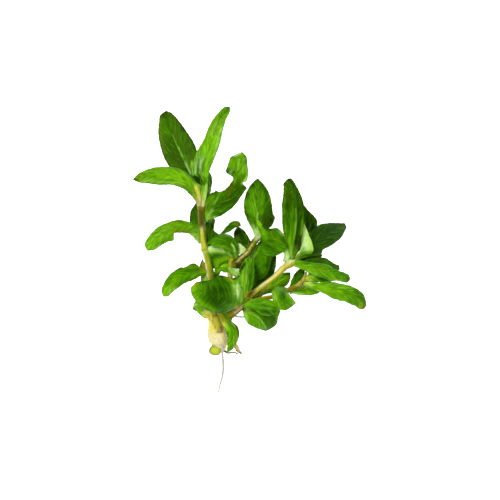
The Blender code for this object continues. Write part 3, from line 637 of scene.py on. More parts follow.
def shell_faces(rows, columns):
    """Four-sided faces between neighbouring rows, three-sided ones round the tip, and one at the foot."""
    upper = np.arange(rows * columns).reshape(rows, columns)
    under = upper.copy()
    under[:, 1:-1] = rows * columns + np.arange(rows * (columns - 2)).reshape(rows, columns - 2)
    tip = np.full(columns - 1, rows * columns + rows * (columns - 2))
    quads_up = np.stack([upper[:-1, :-1], upper[:-1, 1:], upper[1:, 1:], upper[1:, :-1]], -1)
    quads_down = np.stack([under[:-1, 1:], under[:-1, :-1], under[1:, :-1], under[1:, 1:]], -1)
    quads = np.concatenate([quads_up.reshape(-1, 4), quads_down.reshape(-1, 4)])
    tip_up = np.stack([upper[-1, :-1], upper[-1, 1:], tip], -1)
    tip_down = np.stack([under[-1, 1:], under[-1, :-1], tip], -1)
    foot = [upper[0, ::-1].tolist() + under[0, 1:-1].tolist()]
    return quads.tolist() + tip_up.tolist() + tip_down.tolist() + foot


print("faces of a leaf with 60 rows:", len(shell_faces(60, len(across))))

# %% [markdown]
# A whole leaf is its outline, a gentle fold or cup, a long slow wave at its edges, the relief and the paint.
# The side veins of both halves stand in turn, the left ones a third of a space nearer the foot, and drift a
# little. Each leaf's name gives its waves a start of their own, so no two leaves wave alike, and every run is
# the same.

# %% One leaf
EDGE_WAVE = 0.22
LONG_WAVES = (7.0, 8.0)
EDGE_UNEVEN = 0.09
NOTCHES = (2.6, 2.9)
VEIN_SPACING = 2.8
VEIN_BEND = 0.03
VEIN_STAGGER = 0.35
VEIN_DRIFT = (0.22, 6.0)
LOWEST = 0.03


def leaf(name, slot, spine, halves, rise=(0.12, 0.12), curl=-0.1, body=("leaf", "leaf"), marks=(), rib=0.0,
         petiole="fresh", tip="brown", under="sage", root=1.0, slant=2.4):
    """One leaf: height over its spine = half width * |v| * (rise + curl * |v|), v from 1 left to -1 right.

    halves lists (place along the spine, left half width, right half width) as seen from above. body names the
    shades of the left and right half, which are partly the leaf's own and partly painted light, a lit half
    and a shaded half; petiole and tip name those of its two ends, and under the hidden side's. Many of the
    marks are painted shade, painted shadows and painted highlights.
    rib says how pale the midrib is. root is how many millimetres the stalk reaches on into its node, and
    slant how far side veins run along the leaf for each millimetre across it.
    """
    length, rows, centre, beside = leaf_rows(spine, root)
    halves = np.array(halves, float)
    seed = own_seed(name)
    s = rows * length
    fullness = np.clip(np.minimum(rows / 0.1, (1 - rows) / 0.05), 0, 1)
    listed = np.maximum(rows, 0)
    left, right = (soft_steps(halves[:, 0], halves[:, k + 1], listed)
                   + EDGE_UNEVEN * fullness * wobble(s, NOTCHES[k], seed + k) for k in (0, 1))
    v = across[None, :]
    half = np.where(v > 0, left[:, None], right[:, None])
    side = np.abs(v) * half
    reach = v * half
    lift = side * (np.where(v > 0, rise[0], rise[1]) + curl * np.abs(v))
    beats = [wobble(s, LONG_WAVES[k], seed + 2 + k)[:, None] for k in (0, 1)]
    beat = np.where(v > 0, *beats)
    lift = lift + EDGE_WAVE * v**2 * beat * fullness[:, None] * np.minimum(half / 3, 1)
    middle = np.empty((len(rows), len(across), 3))
    middle[:, :, :2] = centre[:, None, :2] + reach[:, :, None] * beside[:, None, :]
    middle[:, :, 2] = centre[:, None, 2] + lift
    facing = np.cross(np.gradient(middle, axis=1), np.gradient(middle, axis=0))
    facing[-1] = facing[-2]
    facing = unit(facing)

    alternate = VEIN_STAGGER * np.clip(side / 1.2, 0, 1) * (v > 0)
    drift = VEIN_DRIFT[0] * wobble(s, VEIN_DRIFT[1], seed + 4)[:, None]
    crossing = s[:, None] - slant * side - VEIN_BEND * side**2
    phase = crossing / VEIN_SPACING + alternate + drift
    above, below, rib_half = leaf_relief(rows, v, side, phase)
    top = middle + above[:, :, None] * facing
    base = middle - below[:, :, None] * facing
    top[:, :, 2] = np.maximum(top[:, :, 2], LOWEST)
    base[:, :, 2] = np.maximum(base[:, :, 2], LOWEST)

    def width_left(u):
        return float(np.interp(u, rows, left))

    def width_right(u):
        return float(np.interp(u, rows, right))

    x = np.broadcast_to(s[:, None], side.shape)
    # Each half takes its body shade, on many leaves a painted lit half and a painted shaded half, and the
    # marks then lay on painted shade, shadows and highlights besides the leaf's own streaks and scars.
    halfway = np.clip(0.5 + reach / 0.5, 0, 1)[:, :, None]
    tint = tissue(body[1]) + halfway * (tissue(body[0]) - tissue(body[1]))
    ends = [(petiole, 0.0, 0.0, 0.05, 0.0, 1.3, 0.5), (tip, 0.985, 0.0, 1.0, 0.0, 0.9, 0.8)]
    tint = brushed(tint, x, reach, ends + list(marks), length, width_left, width_right)
    hidden = brushed(np.zeros(tint.shape) + tissue(under), x, reach, ends, length, width_left, width_right)
    margin = np.minimum(half - side, (length - x) * 0.5)
    lines = np.stack([phase, reach / rib_half, margin], axis=-1)
    steep = np.hypot(slant, 1)
    own_patch = seed % 97 + 9.0 * (v > 0) + 0 * x
    blade_at = np.stack([(slant * x + side) / steep, crossing / steep, own_patch], axis=-1)
    return put(name + "_blade", name, leaf_looks[slot], shell_points(top, base, middle),
               shell_faces(len(rows) - 1, len(across)), shell_points(tint, hidden, tint),
               shell_points(lines, lines, lines), shell_points(blade_at, blade_at, blade_at), rib)


print("side veins every", VEIN_SPACING, "mm")

# %% [markdown]
# A stem could be a curve with a round bevel, but a real one swells at each node, carries ridges and scars,
# and changes colour round itself; here its left side is mostly painted lit and its right side painted in
# shade. So it is a grid too: rings along the path and places round each ring, with the radius changed by
# nodes, ridges and unevenness, and a rounded end at both sides.

# %% The faces of a tube
def tube_faces(rings, places):
    """Four-sided faces between neighbouring rings, and a fan of three-sided ones at both ends."""
    index = np.arange(rings * places).reshape(rings, places)
    following = np.roll(index, -1, axis=1)
    quads = np.stack([index[:-1], following[:-1], following[1:], index[1:]], axis=-1).reshape(-1, 4)
    start_cap = np.stack([following[0], index[0], np.full(places, rings * places)], -1)
    end_cap = np.stack([index[-1], following[-1], np.full(places, rings * places + 1)], -1)
    return quads.tolist() + start_cap.tolist() + end_cap.tolist()


print("faces of a tube with 40 rings of 28:", len(tube_faces(40, 28)))

# %% [markdown]
# A node swells by a sixth where a leaf grew, five fibre ridges wind slowly round the stem, and lumps of three
# sizes keep it from looking turned on a lathe. Sizes are in millimetres again.

# %% The stem surface
RINGS_PER_MM = 3.2
RING_LIMITS = (12, 120)
STEM_PLACES = 28
CAP_SHARES = np.array([0.35, 0.7, 0.92])
DOME = 0.35
NODE_SWELL = 0.16
NODE_REACH = 0.7
FIBRE_RIDGES = 5
RIDGE_TWIST = 0.05
LUMPS = (2.4, 1.5, 1.0)


def stalk(name, slot, path, body=("straw", "straw"), marks=(), nodes=(), ridges=0.03, uneven=0.03, cut=0.0,
          cut_shades=(), grow=(0.5, 0.5)):
    """One length of stem or root along (x, y, z, radius): radius * (1 + swelling + ridges + unevenness).

    nodes lists places where leaves grew, which swell. cut slants the far end, as a knife does, by so many
    millimetres for each millimetre of height, and cut_shades colours that face from its middle to its rim.
    grow lets both ends reach so many millimetres into what they grow from and carry.
    """
    curve = smooth_path(path)
    steps = np.linalg.norm(np.diff(curve[:, :3], axis=0), axis=1)
    along = np.concatenate([[0.0], np.cumsum(steps)])
    length = along[-1]
    body_rings = int(np.clip(length * RINGS_PER_MM, *RING_LIMITS))
    s = np.concatenate([np.zeros(3), np.linspace(0, length, body_rings), np.full(3, length)])
    shares = np.concatenate([CAP_SHARES, np.ones(body_rings), CAP_SHARES[::-1]])
    centre = np.stack([np.interp(s, along, curve[:, k]) for k in range(4)], axis=1)
    heading = unit(np.stack([np.interp(s, along, np.gradient(curve[:, k], along)) for k in range(3)], axis=1))
    flat = unit(np.stack([-heading[:, 1], heading[:, 0], np.zeros(len(s))], axis=1))
    high = np.cross(heading, flat)

    seed = own_seed(name)
    turns = np.linspace(0.0, 2 * np.pi, STEM_PLACES, endpoint=False)
    swell = np.zeros(len(s))
    for node in nodes:
        swell = swell + NODE_SWELL * np.exp(-(((s - node * length) / NODE_REACH) ** 2))
    ridge = ridges * np.cos(FIBRE_RIDGES * turns[None, :] + RIDGE_TWIST * s[:, None])
    lumps = uneven * (wobble(s, LUMPS[0], seed)[:, None] * np.cos(turns + 1.0)
                      + wobble(s, LUMPS[1], seed + 1)[:, None] * np.cos(2 * turns + 2.0)
                      + wobble(s, LUMPS[2], seed + 2)[:, None] * np.cos(3 * turns))
    radius = centre[:, 3:] * shares[:, None] * (1 + swell[:, None] + ridge + lumps)
    ring = np.cos(turns)[None, :, None] * flat[:, None, :] + np.sin(turns)[None, :, None] * high[:, None, :]
    points = centre[:, None, :3] + radius[:, :, None] * ring
    dome = DOME * centre[:, 3] * np.sqrt(np.maximum(1 - shares**2, 0)) * np.where(s > 0, 1, -1)
    near_end = np.clip(np.abs(2 * s / length - 1) * 8 - 7, 0, 1)
    dome = dome + np.where(s > 0.5 * length, grow[1], -grow[0]) * near_end
    if cut:
        dome = np.where(s > 0, 0.0, dome)
        near_cut = np.clip(s / length * 3 - 2, 0, 1)[:, None]
        back = cut * (radius * np.sin(turns)[None, :] + centre[:, 3:]) * near_cut
        points = points - back[:, :, None] * heading[:, None, :]
    points = points + dome[:, None, None] * heading[:, None, :]
    points[:, :, 2] = np.maximum(points[:, :, 2], LOWEST)

    x = np.broadcast_to(s[:, None], radius.shape)
    y = radius * np.cos(turns)[None, :]

    def half_at(u):
        return float(np.interp(u * length, along, curve[:, 3]))

    # The left side takes the first body shade and the right side the second: on most stems a painted lit side
    # and a painted shaded side, with the key light from the upper left.
    to_left = np.clip(0.5 + 0.6 * np.cos(turns), 0, 1)[None, :, None]
    tint = tissue(body[1]) + to_left * (tissue(body[0]) - tissue(body[1])) + np.zeros(points.shape)
    tint = brushed(tint, x, y, marks, length, half_at, half_at)
    if cut_shades:
        face = np.stack([tissue(shade) for shade in cut_shades])
        stops = np.linspace(0, 1, len(face))
        faced = np.stack([np.interp(shares, stops, face[:, k]) for k in range(3)], axis=1)
        on_face = (s >= length) & (shares <= 1.0)
        tint = np.where(on_face[:, None, None], faced[:, None, :], tint)
    lines = np.stack([x, turns[None, :] * centre[:, 3:], np.zeros(x.shape)], axis=-1)

    ends = np.stack([points[0].mean(0), points[-1].mean(0)])
    faces = tube_faces(len(s), STEM_PLACES)
    vertices = np.concatenate([points.reshape(-1, 3), ends])
    tints = np.concatenate([tint.reshape(-1, 3), tint[0, :1], tint[-1, :1]])
    packed = np.concatenate([lines.reshape(-1, 3), lines[0, :1], lines[-1, :1]])
    return put(name + "_skin", name, stem_looks[slot], vertices, faces, tints, packed)


print("places round a stem:", STEM_PLACES)

# %% [markdown]
# The main stem rises on the left through four nodes. It is brown and dry just under the top leaves and
# yellow-green below. Its left side is painted lighter, as lit, and its right side and the olive marks along
# its right edge are painted shade.

# %% The main stem
stalk("main_stem", "stem_green", [
    (-14.2, -25.8, 6.6, 2), (-14.6, -22, 7.3, 1.5), (-15.2, -15.5, 8.8, 1.35), (-15.8, -9.6, 10.2, 1.55),
    (-16.8, -4.2, 11.2, 1.45), (-17.95, 0.8, 12.2, 1.5), (-18.8, 5.2, 13, 1.3), (-19.2, 9.4, 13.7, 1.45),
    (-19.5, 13.6, 14.4, 1.4), (-19.5, 17.4, 15, 1.45)], grow=(1.5, 0.8), nodes=(0.37, 0.61, 0.79, 0.98),
    body=("pear", "olive"), marks=[
    ("butter", 0, 0, 0.12, 0.2, 1.6, 0.8), ("olive", 0.86, 0.9, 0.97, 0.9, 0.5, 0.6),
    ("cream", 0.79, 0.2, 0.835, 0.2, 0.5, 0.9), ("butter", 0.64, 0.1, 0.77, 0.2, 0.6, 0.6),
    ("olive", 0.62, -0.95, 0.8, -0.95, 0.5, 0.7), ("brown", 0.608, 0.9, 0.608, -0.9, 0.3, 0.8),
    ("straw", 0.59, 0.5, 0.595, -0.2, 0.6, 0.6), ("cream", 0.36, 0.85, 0.58, 0.9, 0.45, 0.8),
    ("rust", 0.5, 0.45, 0.575, 0.5, 0.35, 0.5), ("olive", 0.3, -0.9, 0.58, -0.9, 0.6, 0.7),
    ("tan", 0.975, 0.3, 1, 0, 1.1, 0.9), ("rust", 0.975, -0.2, 0.99, 0.4, 0.4, 0.7),
    ("brown", 0.84, 0.2, 0.955, 0.2, 1.6, 0.97), ("bark", 0.85, -0.2, 0.95, -0.3, 0.5, 0.6),
    ("fresh", 0.85, -0.98, 0.95, -0.98, 0.35, 0.7), ("lime", 0.45, -0.2, 0.56, -0.1, 0.4, 0.5),
    ("moss", 0.735, 0.9, 0.8, 0.9, 0.3, 0.8), ("lime", 0.57, 0.8, 0.61, 0.85, 0.4, 0.6),
    ("lime", 0.612, -0.1, 0.63, -0.4, 0.4, 0.5)])
count_made()

# %% [markdown]
# The middle shoot starts as a thin yellow stem, breaks off in a dark withered stump where it once was hurt,
# and goes on as a brown woody length that carries its leaves.

# %% The middle shoot's stems
stalk("side_stem_low", "stem_straw", [
    (-11.3, -25, 7.5, 0.9), (-10, -21, 9, 0.9), (-8.8, -17, 10.4, 0.9), (-8, -12.8, 11.4, 0.95),
    (-7.9, -9.4, 12.1, 1.1), (-7.7, -6.6, 12.8, 1.2), (-7.3, -4, 13.2, 1.2)], body=("pear", "ochre"),
    nodes=(0.55,), marks=[
    ("tan", 0.8, -0.5, 1, -0.5, 0.6, 0.7), ("straw", 0.55, 0.2, 0.75, 0.2, 0.6, 0.7),
    ("fresh", 0.8, 0.7, 1, 0.7, 0.6, 0.6)])
stalk("side_stem_stub", "stem_brown", [
    (-6.8, -6, 12.8, 1.5), (-5.2, -5.5, 13.2, 2.1), (-3.6, -5.6, 13.3, 2.2), (-2.2, -6.2, 13.2, 1.4)],
    ridges=0.08, uneven=0.16, body=("brown", "bark"), marks=[
    ("ochre", 0.1, 0.35, 0.6, 0.5, 0.4, 0.8), ("bark", 0.4, -0.3, 0.8, -0.5, 0.8, 0.8),
    ("olive", 0.6, 0.6, 0.9, 0.2, 0.5, 0.6), ("ochre", 0, 0.3, 0.1, 0, 0.5, 0.8),
    ("pear", 0.04, -0.6, 0.14, -0.6, 0.5, 0.5)])
stalk("side_stem_top", "stem_brown", [
    (-6.2, -5.4, 14, 1.3), (-3.6, -3.4, 14.4, 1.3), (-1.2, -1.2, 14.4, 1.2), (0.6, 1.4, 14.7, 1.15),
    (2.4, 4, 15.2, 1.3), (3.9, 5.4, 15.4, 1.1)], nodes=(0.4, 0.72, 0.97), ridges=0.06, uneven=0.14,
    body=("ochre", "olive"), marks=[
    ("bark", 0, 0.95, 0.34, 0.95, 0.5, 0.9), ("brown", 0.1, -0.7, 0.9, -0.9, 0.4, 0.8),
    ("bark", 0.72, 0.95, 0.8, 0.95, 0.6, 0.97), ("brown", 0.46, 0.97, 0.68, 0.97, 0.35, 0.7),
    ("bark", 0.34, 0.1, 0.38, 0, 0.4, 0.7), ("brown", 0.56, 0.1, 0.58, 0.3, 0.35, 0.7),
    ("bark", 0.12, 0.4, 0.16, 0.3, 0.4, 0.7), ("milk", 0.9, 0, 1, 0.2, 0.8, 0.8),
    ("brown", 0, 0.3, 0.22, 0.2, 0.7, 0.6), ("brown", 0.24, 0.5, 0.3, 0.3, 0.35, 0.6),
    ("bark", 0.05, -0.3, 0.12, -0.5, 0.5, 0.7), ("olive", 0.3, 0.6, 0.6, 0.6, 0.4, 0.5),
    ("peach", 0.1, 0.15, 0.42, 0.2, 0.35, 0.8), ("straw", 0.42, 0.2, 0.72, 0.2, 0.35, 0.8),
    ("bark", 0.2, 0, 0.21, 0.1, 0.22, 0.85), ("bark", 0.5, 0.35, 0.52, 0.3, 0.22, 0.8),
    ("bark", 0.63, -0.1, 0.65, 0, 0.22, 0.8), ("olive", 0.8, -0.8, 0.95, -0.9, 0.5, 0.8),
    ("brown", 0.52, 0.95, 0.62, 0.95, 0.4, 0.85), ("brown", 0.03, 0.9, 0.14, 0.9, 0.5, 0.85),
    ("brown", 0.64, 0.75, 0.71, 0.8, 0.45, 0.8), ("edge", 0.82, -0.9, 0.9, -0.95, 0.4, 0.7),
    ("brown", 0.08, 0.4, 0.14, 0.4, 0.4, 0.7), ("brown", 0.3, 0.6, 0.35, 0.6, 0.35, 0.6)])
count_made()

# %% [markdown]
# The right shoot leaves the rootstock as a brown, pinkish length, and beyond its first node it is smooth
# yellow straw, with a tan scar just under the leaves. Along both its stems the dark line down the lower edge
# is painted shade, and the cream streak along the straw is a painted highlight. The small shoot below it is
# rusty brown.

# %% The right shoot's stems and the small stem
stalk("right_stem_low", "stem_brown", [
    (-12.4, -27.4, 5.6, 1.9), (-9, -26.5, 6.8, 1.8), (-5.6, -24.4, 8.3, 1.4), (-3, -22, 9.9, 1.2),
    (-1.2, -19.5, 11.3, 1.1)], grow=(0.0, 1.2), nodes=(0.7, 0.97), body=("ochre", "rust"), marks=[
    ("pear", 0, 0.2, 0.35, 0, 1, 0.6), ("peach", 0.5, -0.2, 0.85, -0.1, 0.5, 0.8),
    ("bark", 0.4, -1, 0.95, -1, 0.35, 0.85), ("brown", 0.1, -0.7, 0.35, -0.9, 0.5, 0.6),
    ("brown", 0.6, 0.9, 0.8, 0.9, 0.5, 0.7), ("pear", 0.5, 0.6, 0.9, 0.6, 0.6, 0.7),
    ("olive", 0.9, 0.5, 1, 0.5, 0.6, 0.6), ("lime", 0.86, 0, 1, 0.1, 0.8, 0.6),
    ("lime", 0.84, 0.6, 1, 0.5, 0.6, 0.85), ("pear", 0.9, 0.3, 0.98, 0.3, 0.5, 0.6)])
stalk("right_stem_top", "stem_straw", [
    (-0.2, -18.3, 11.8, 1.1), (5, -14.2, 13.6, 1), (10.2, -10.3, 15.2, 1.1), (13.7, -7, 16.1, 1.25),
    (16.6, -5, 16.5, 1.75), (18.4, -3.8, 16.2, 1.4)], nodes=(0.03, 0.73), body=("straw", "ochre"), marks=[
    ("tan", 0.78, -0.8, 1, -0.8, 0.5, 0.9), ("rust", 0, 0, 0.09, 0, 1.3, 0.9),
    ("brown", 0.02, -0.3, 0.06, 0.3, 0.5, 0.6), ("rust", 0.76, -0.4, 0.8, 0.3, 0.4, 0.6),
    ("tan", 0.1, -0.9, 0.75, -0.9, 0.4, 0.8), ("ochre", 0.1, 0.95, 0.7, 0.95, 0.35, 0.7),
    ("cream", 0.26, 0.3, 0.72, 0.35, 0.5, 0.9), ("milk", 0.88, 0.7, 1, 0.5, 0.9, 0.8),
    ("butter", 0.4, 0, 0.85, 0.1, 0.5, 0.6), ("olive", 0.2, 0.97, 0.56, 0.97, 0.35, 0.8),
    ("pear", 0.15, -0.5, 0.22, -0.5, 0.5, 0.5)])
stalk("small_stem", "stem_brown", [
    (1.4, -20.3, 10.6, 0.85), (4.8, -19.5, 11, 0.85), (8.8, -18.8, 11.4, 0.85), (12.4, -17.6, 11.8, 0.85),
    (15.2, -16.2, 12.3, 0.95), (18, -14.9, 12.9, 0.95), (20.1, -13.5, 13.4, 1), (21.2, -12.1, 13.8, 0.85),
    (22.3, -9.4, 14.6, 0.45)], nodes=(0.55, 0.8), body=("ochre", "rust"), marks=[
    ("straw", 0.76, 0.2, 0.95, 0.2, 0.6, 0.8), ("brown", 0.45, -0.7, 0.75, -0.7, 0.5, 0.7),
    ("rust", 0.62, 0.4, 0.68, 0.2, 0.5, 0.6), ("rust", 0.8, -0.3, 0.86, 0.3, 0.4, 0.7),
    ("olive", 0.5, 0.3, 0.76, 0, 0.6, 0.5)])
count_made()

# %% [markdown]
# All shoots leave one short swollen rootstock. Its flesh is cream and peach, a brown V of old scales lies on
# it, and a knife cut its lower end on the slant, which bares the lime-coloured pith inside an olive rim. The
# butter-yellow marks over its top are partly its own colour and partly painted light: lighter at the lit
# upper left, and lifting the shade under the round leaf.

# %% The rootstock
stalk("rootstock", "rootstock", [
    (-13.7, -28.2, 5.8, 3), (-13.2, -31, 4.9, 3.9), (-12.9, -34.5, 4.2, 4.18), (-12.7, -37.4, 3.9, 3.7),
    (-12.9, -39.2, 3.7, 3.1), (-13.6, -40.6, 3.2, 2.6), (-13.8, -42.4, 3, 2.6)], grow=(2.2, 0.0),
    ridges=0.015, uneven=0.03, cut=0.85, cut_shades=("pith", "pith", "pith", "pear", "pear", "olive"),
    body=("peach", "cream"), marks=[
    ("butter", -0.15, -0.5, 0.2, -0.5, 1.7, 0.95), ("butter", -0.15, 0.2, 0.1, 0.2, 1.6, 0.8),
    ("ochre", 0.1, 0.6, 0.25, 0.6, 0.6, 0.7), ("tan", 0.2, -1, 0.6, -1, 0.35, 0.5),
    ("butter", -0.12, -0.3, 0.05, 0.3, 1.3, 0.8), ("ochre", 0.12, 0.3, 0.26, 0.4, 0.5, 0.6),
    ("cream", 0.38, 0.95, 0.85, 0.9, 0.9, 0.9), ("pear", -0.15, 0.1, -0.03, 0.3, 1, 0.85),
    ("ochre", 0, 0.1, 0.2, 0.15, 0.9, 0.7), ("rust", -0.02, -0.4, 0.28, -0.02, 0.45, 0.8),
    ("rust", 0.08, 0.3, 0.28, 0.35, 0.6, 0.85), ("brown", 0, 0.35, 0.26, 0.5, 0.35, 0.8),
    ("brown", 0.27, 0.1, 0.3, 0.45, 0.35, 0.85), ("butter", 0.34, 0.5, 0.4, 0.4, 0.6, 0.7),
    ("pith", 0.97, -0.1, 1, -0.1, 1.5, 0.6), ("butter", -0.15, 0.1, -0.05, 0.2, 1.2, 0.95),
    ("pear", 0, 0.3, 0.06, 0.35, 0.5, 0.9), ("pear", 0, 0.3, 0.07, 0.35, 0.6, 0.95),
    ("butter", 0.5, 0.95, 0.75, 0.95, 0.6, 0.7)])
count_made()

# %% [markdown]
# Four bare roots are left: the long one trails past the cut end, and the rest are short broken threads.

# %% The roots
stalk("long_root", "root", [
    (-11.2, -38.6, 8, 0.42), (-11.1, -40.6, 7.2, 0.45), (-11, -42.6, 5, 0.48), (-10.8, -45, 2.8, 0.5),
    (-10.8, -48, 1.2, 0.46), (-11.2, -51, 0.6, 0.4), (-12, -53.8, 0.42, 0.34), (-12.6, -56.8, 0.3, 0.26)],
    body=("root", "root"), uneven=0.06)
stalk("rootlet_right", "root", [
    (-8.6, -36.8, 4.4, 0.4), (-6.8, -37, 4.6, 0.5), (-5.6, -38.6, 4.2, 0.9), (-4.9, -40, 3.4, 0.85),
    (-3.8, -41.2, 2.7, 0.4)], uneven=0.16, body=("peach", "tan"), marks=[
    ("bark", 0.92, 0, 1, 0, 0.4, 0.8), ("brown", 0.6, -0.9, 0.8, -0.9, 0.3, 0.6),
    ("cream", 0.4, -0.5, 0.6, 0, 0.4, 0.6)])
stalk("rootlet_low", "root", [
    (-10, -40.6, 3.5, 0.5), (-8.6, -41.2, 3.2, 0.45), (-7, -41, 3, 0.32), (-5.4, -41.4, 2.6, 0.32)],
    body=("root", "tan"), uneven=0.1, marks=[
    ("bark", 0.05, 0, 0.15, 0, 0.5, 0.7), ("brown", 0.5, 0, 0.95, 0, 0.4, 0.6)])
stalk("rootlet_stem", "root", [
    (-6.1, -26.4, 6.9, 0.3), (-5.2, -26.6, 6.8, 0.3), (-4, -26.8, 6.4, 0.28), (-2.4, -26.8, 6, 0.24)],
    body=("root", "root"), uneven=0.1)
count_made()

# %% [markdown]
# The main shoot carries the longest leaves. At its top one old dark leaf stands behind a young bright one, a
# second young leaf arches to the left, and between them sits a small bud leaf, painted dark as the shade that
# falls between them. Each outline comes from a few half widths listed along the leaf, and the scars and
# shades on it are laid on one stroke at a time.

# %% The main shoot's top leaves
leaf("top_leaf_back", "leaf_dark", [
    (-20.3, 18.8, 12.7), (-23.8, 30.5, 9.4), (-28.1, 39.4, 5.6), (-31.4, 47.1, 2.3), (-33.7, 55.9, 0.05)], [
    (0, 0.8, 0.8), (0.25, 3.9, 3.4), (0.4, 5.9, 5.5), (0.56, 6.8, 6.6), (0.77, 5.6, 5.4),
    (0.91, 3.7, 3.4), (0.97, 2.6, 1.9), (1, 0, 0)], rise=(0.15, 0.2), body=("dark", "dark"), rib=0.45,
    tip="bark", marks=[
    ("ink", 0.33, 0.15, 0.6, 0.45, 1, 0.6), ("deep", 0.45, 0.45, 0.75, 0.6, 1.8, 0.6),
    ("mid", 0.78, 0.4, 0.93, 0.35, 2.2, 0.7), ("olive", 0.62, 0.85, 0.9, 0.9, 0.6, 0.4),
    ("milk", 0.31, 0, 0.44, 0, 0.35, 0.8), ("vein", 0.5, -0.02, 0.6, -0.02, 0.35, 0.8),
    ("grey", 0.3, -0.2, 0.37, -0.4, 0.5, 0.6), ("deep", 0.8, -0.7, 0.95, -0.5, 1.4, 0.6),
    ("deep", 0.5, -0.95, 0.8, -0.97, 0.5, 0.6), ("bark", 0.95, 0.6, 0.99, -0.6, 1.1, 0.85),
    ("pale", 0.28, -0.3, 0.33, -0.3, 0.4, 0.7), ("deep", 0.55, 0.85, 0.72, 0.9, 0.8, 0.6),
    ("deep", 0.42, -0.6, 0.66, -0.5, 1.4, 0.55), ("fresh", 0.32, -0.12, 0.5, -0.16, 0.35, 0.5),
    ("deep", 0.9, -0.1, 0.97, -0.3, 1.2, 0.7), ("moss", 0.28, -0.5, 0.4, -0.45, 0.8, 0.5),
    ("vein", 0.3, 0, 0.74, 0, 0.27, 0.5), ("vein", 0.36, -0.3, 0.41, -0.45, 0.5, 0.5),
    ("pale", 0.33, -0.4, 0.4, -0.4, 0.3, 0.5)])
# The dark and deep marks on its left near the foot are painted shade, where the bud leaf and its neighbours
# shade it.
leaf("top_leaf_tall", "leaf_bright", [
    (-18.5, 18.2, 16.4), (-18.1, 24, 18.3), (-18.2, 31, 19.7), (-17.6, 36, 20.2), (-15.6, 42.4, 20.3),
    (-13.4, 49.2, 19.4), (-7.9, 57.2, 17.2)], [
    (0, 1.1, 0.6), (0.15, 1.6, 1.2), (0.25, 1.7, 1.4), (0.29, 4.3, 1.7), (0.36, 4.9, 2.4),
    (0.47, 4.4, 3.3), (0.62, 3.2, 3.5), (0.76, 2.8, 3), (0.88, 2.3, 2), (0.96, 1.8, 1.4), (1, 0, 0)],
    rise=(0.3, 1.0), body=("fresh", "fresh"), rib=0.05, tip="bark", marks=[
    ("straw", 0, 0, 0.1, 0, 1.3, 0.8), ("pale", 0.1, -0.3, 0.16, -0.3, 0.8, 0.8),
    ("moss", 0.18, -0.2, 0.27, -0.2, 1, 0.45), ("lime", 0.28, -0.25, 0.5, -0.3, 1.1, 0.85),
    ("lime", 0.46, 0.2, 0.68, 0, 1.9, 0.8), ("vein", 0.68, 0.1, 0.84, -0.1, 1.2, 0.5),
    ("grey", 0.29, 0.6, 0.44, 0.5, 1.7, 0.85), ("milk", 0.31, 0.45, 0.42, 0.35, 0.35, 0.6),
    ("milk", 0.3, 0.8, 0.4, 0.75, 0.35, 0.5), ("moss", 0.31, 0.22, 0.43, 0.12, 0.3, 0.8),
    ("moss", 0.33, 0.62, 0.43, 0.57, 0.3, 0.6), ("moss", 0.73, 0.5, 0.8, 0.05, 0.3, 0.6),
    ("mid", 0.87, 0.2, 0.96, 0, 1.3, 0.65), ("ochre", 0.5, 0.97, 0.9, 0.97, 0.4, 0.5),
    ("pale", 0.48, -0.8, 0.78, -0.75, 0.45, 0.6), ("dark", 0.2, 0.95, 0.27, 0.7, 0.8, 0.9),
    ("bright", 0.52, -0.35, 0.9, -0.35, 1, 0.6), ("peach", 0, 0, 0.02, 0, 1, 0.9),
    ("bright", 0.62, 0.3, 0.78, 0.35, 0.8, 0.5), ("pale", 0, -0.8, 0.18, -0.85, 0.7, 0.9),
    ("deep", 0.2, 0.7, 0.28, 0.55, 0.8, 0.85), ("bright", 0.1, 0.8, 0.17, 0.8, 0.5, 0.7),
    ("lime", 0.5, -0.3, 0.66, -0.35, 0.9, 0.6), ("bright", 0.6, 0.4, 0.8, 0.4, 0.9, 0.6),
    ("mid", 0.29, 0.65, 0.34, 0.55, 0.5, 0.8), ("moss", 0.28, 0.75, 0.33, 0.5, 0.7, 0.75),
    ("lime", 0.5, 0.1, 0.66, 0.05, 1.2, 0.7), ("vein", 0.68, 0.35, 0.79, 0.3, 0.8, 0.7)])
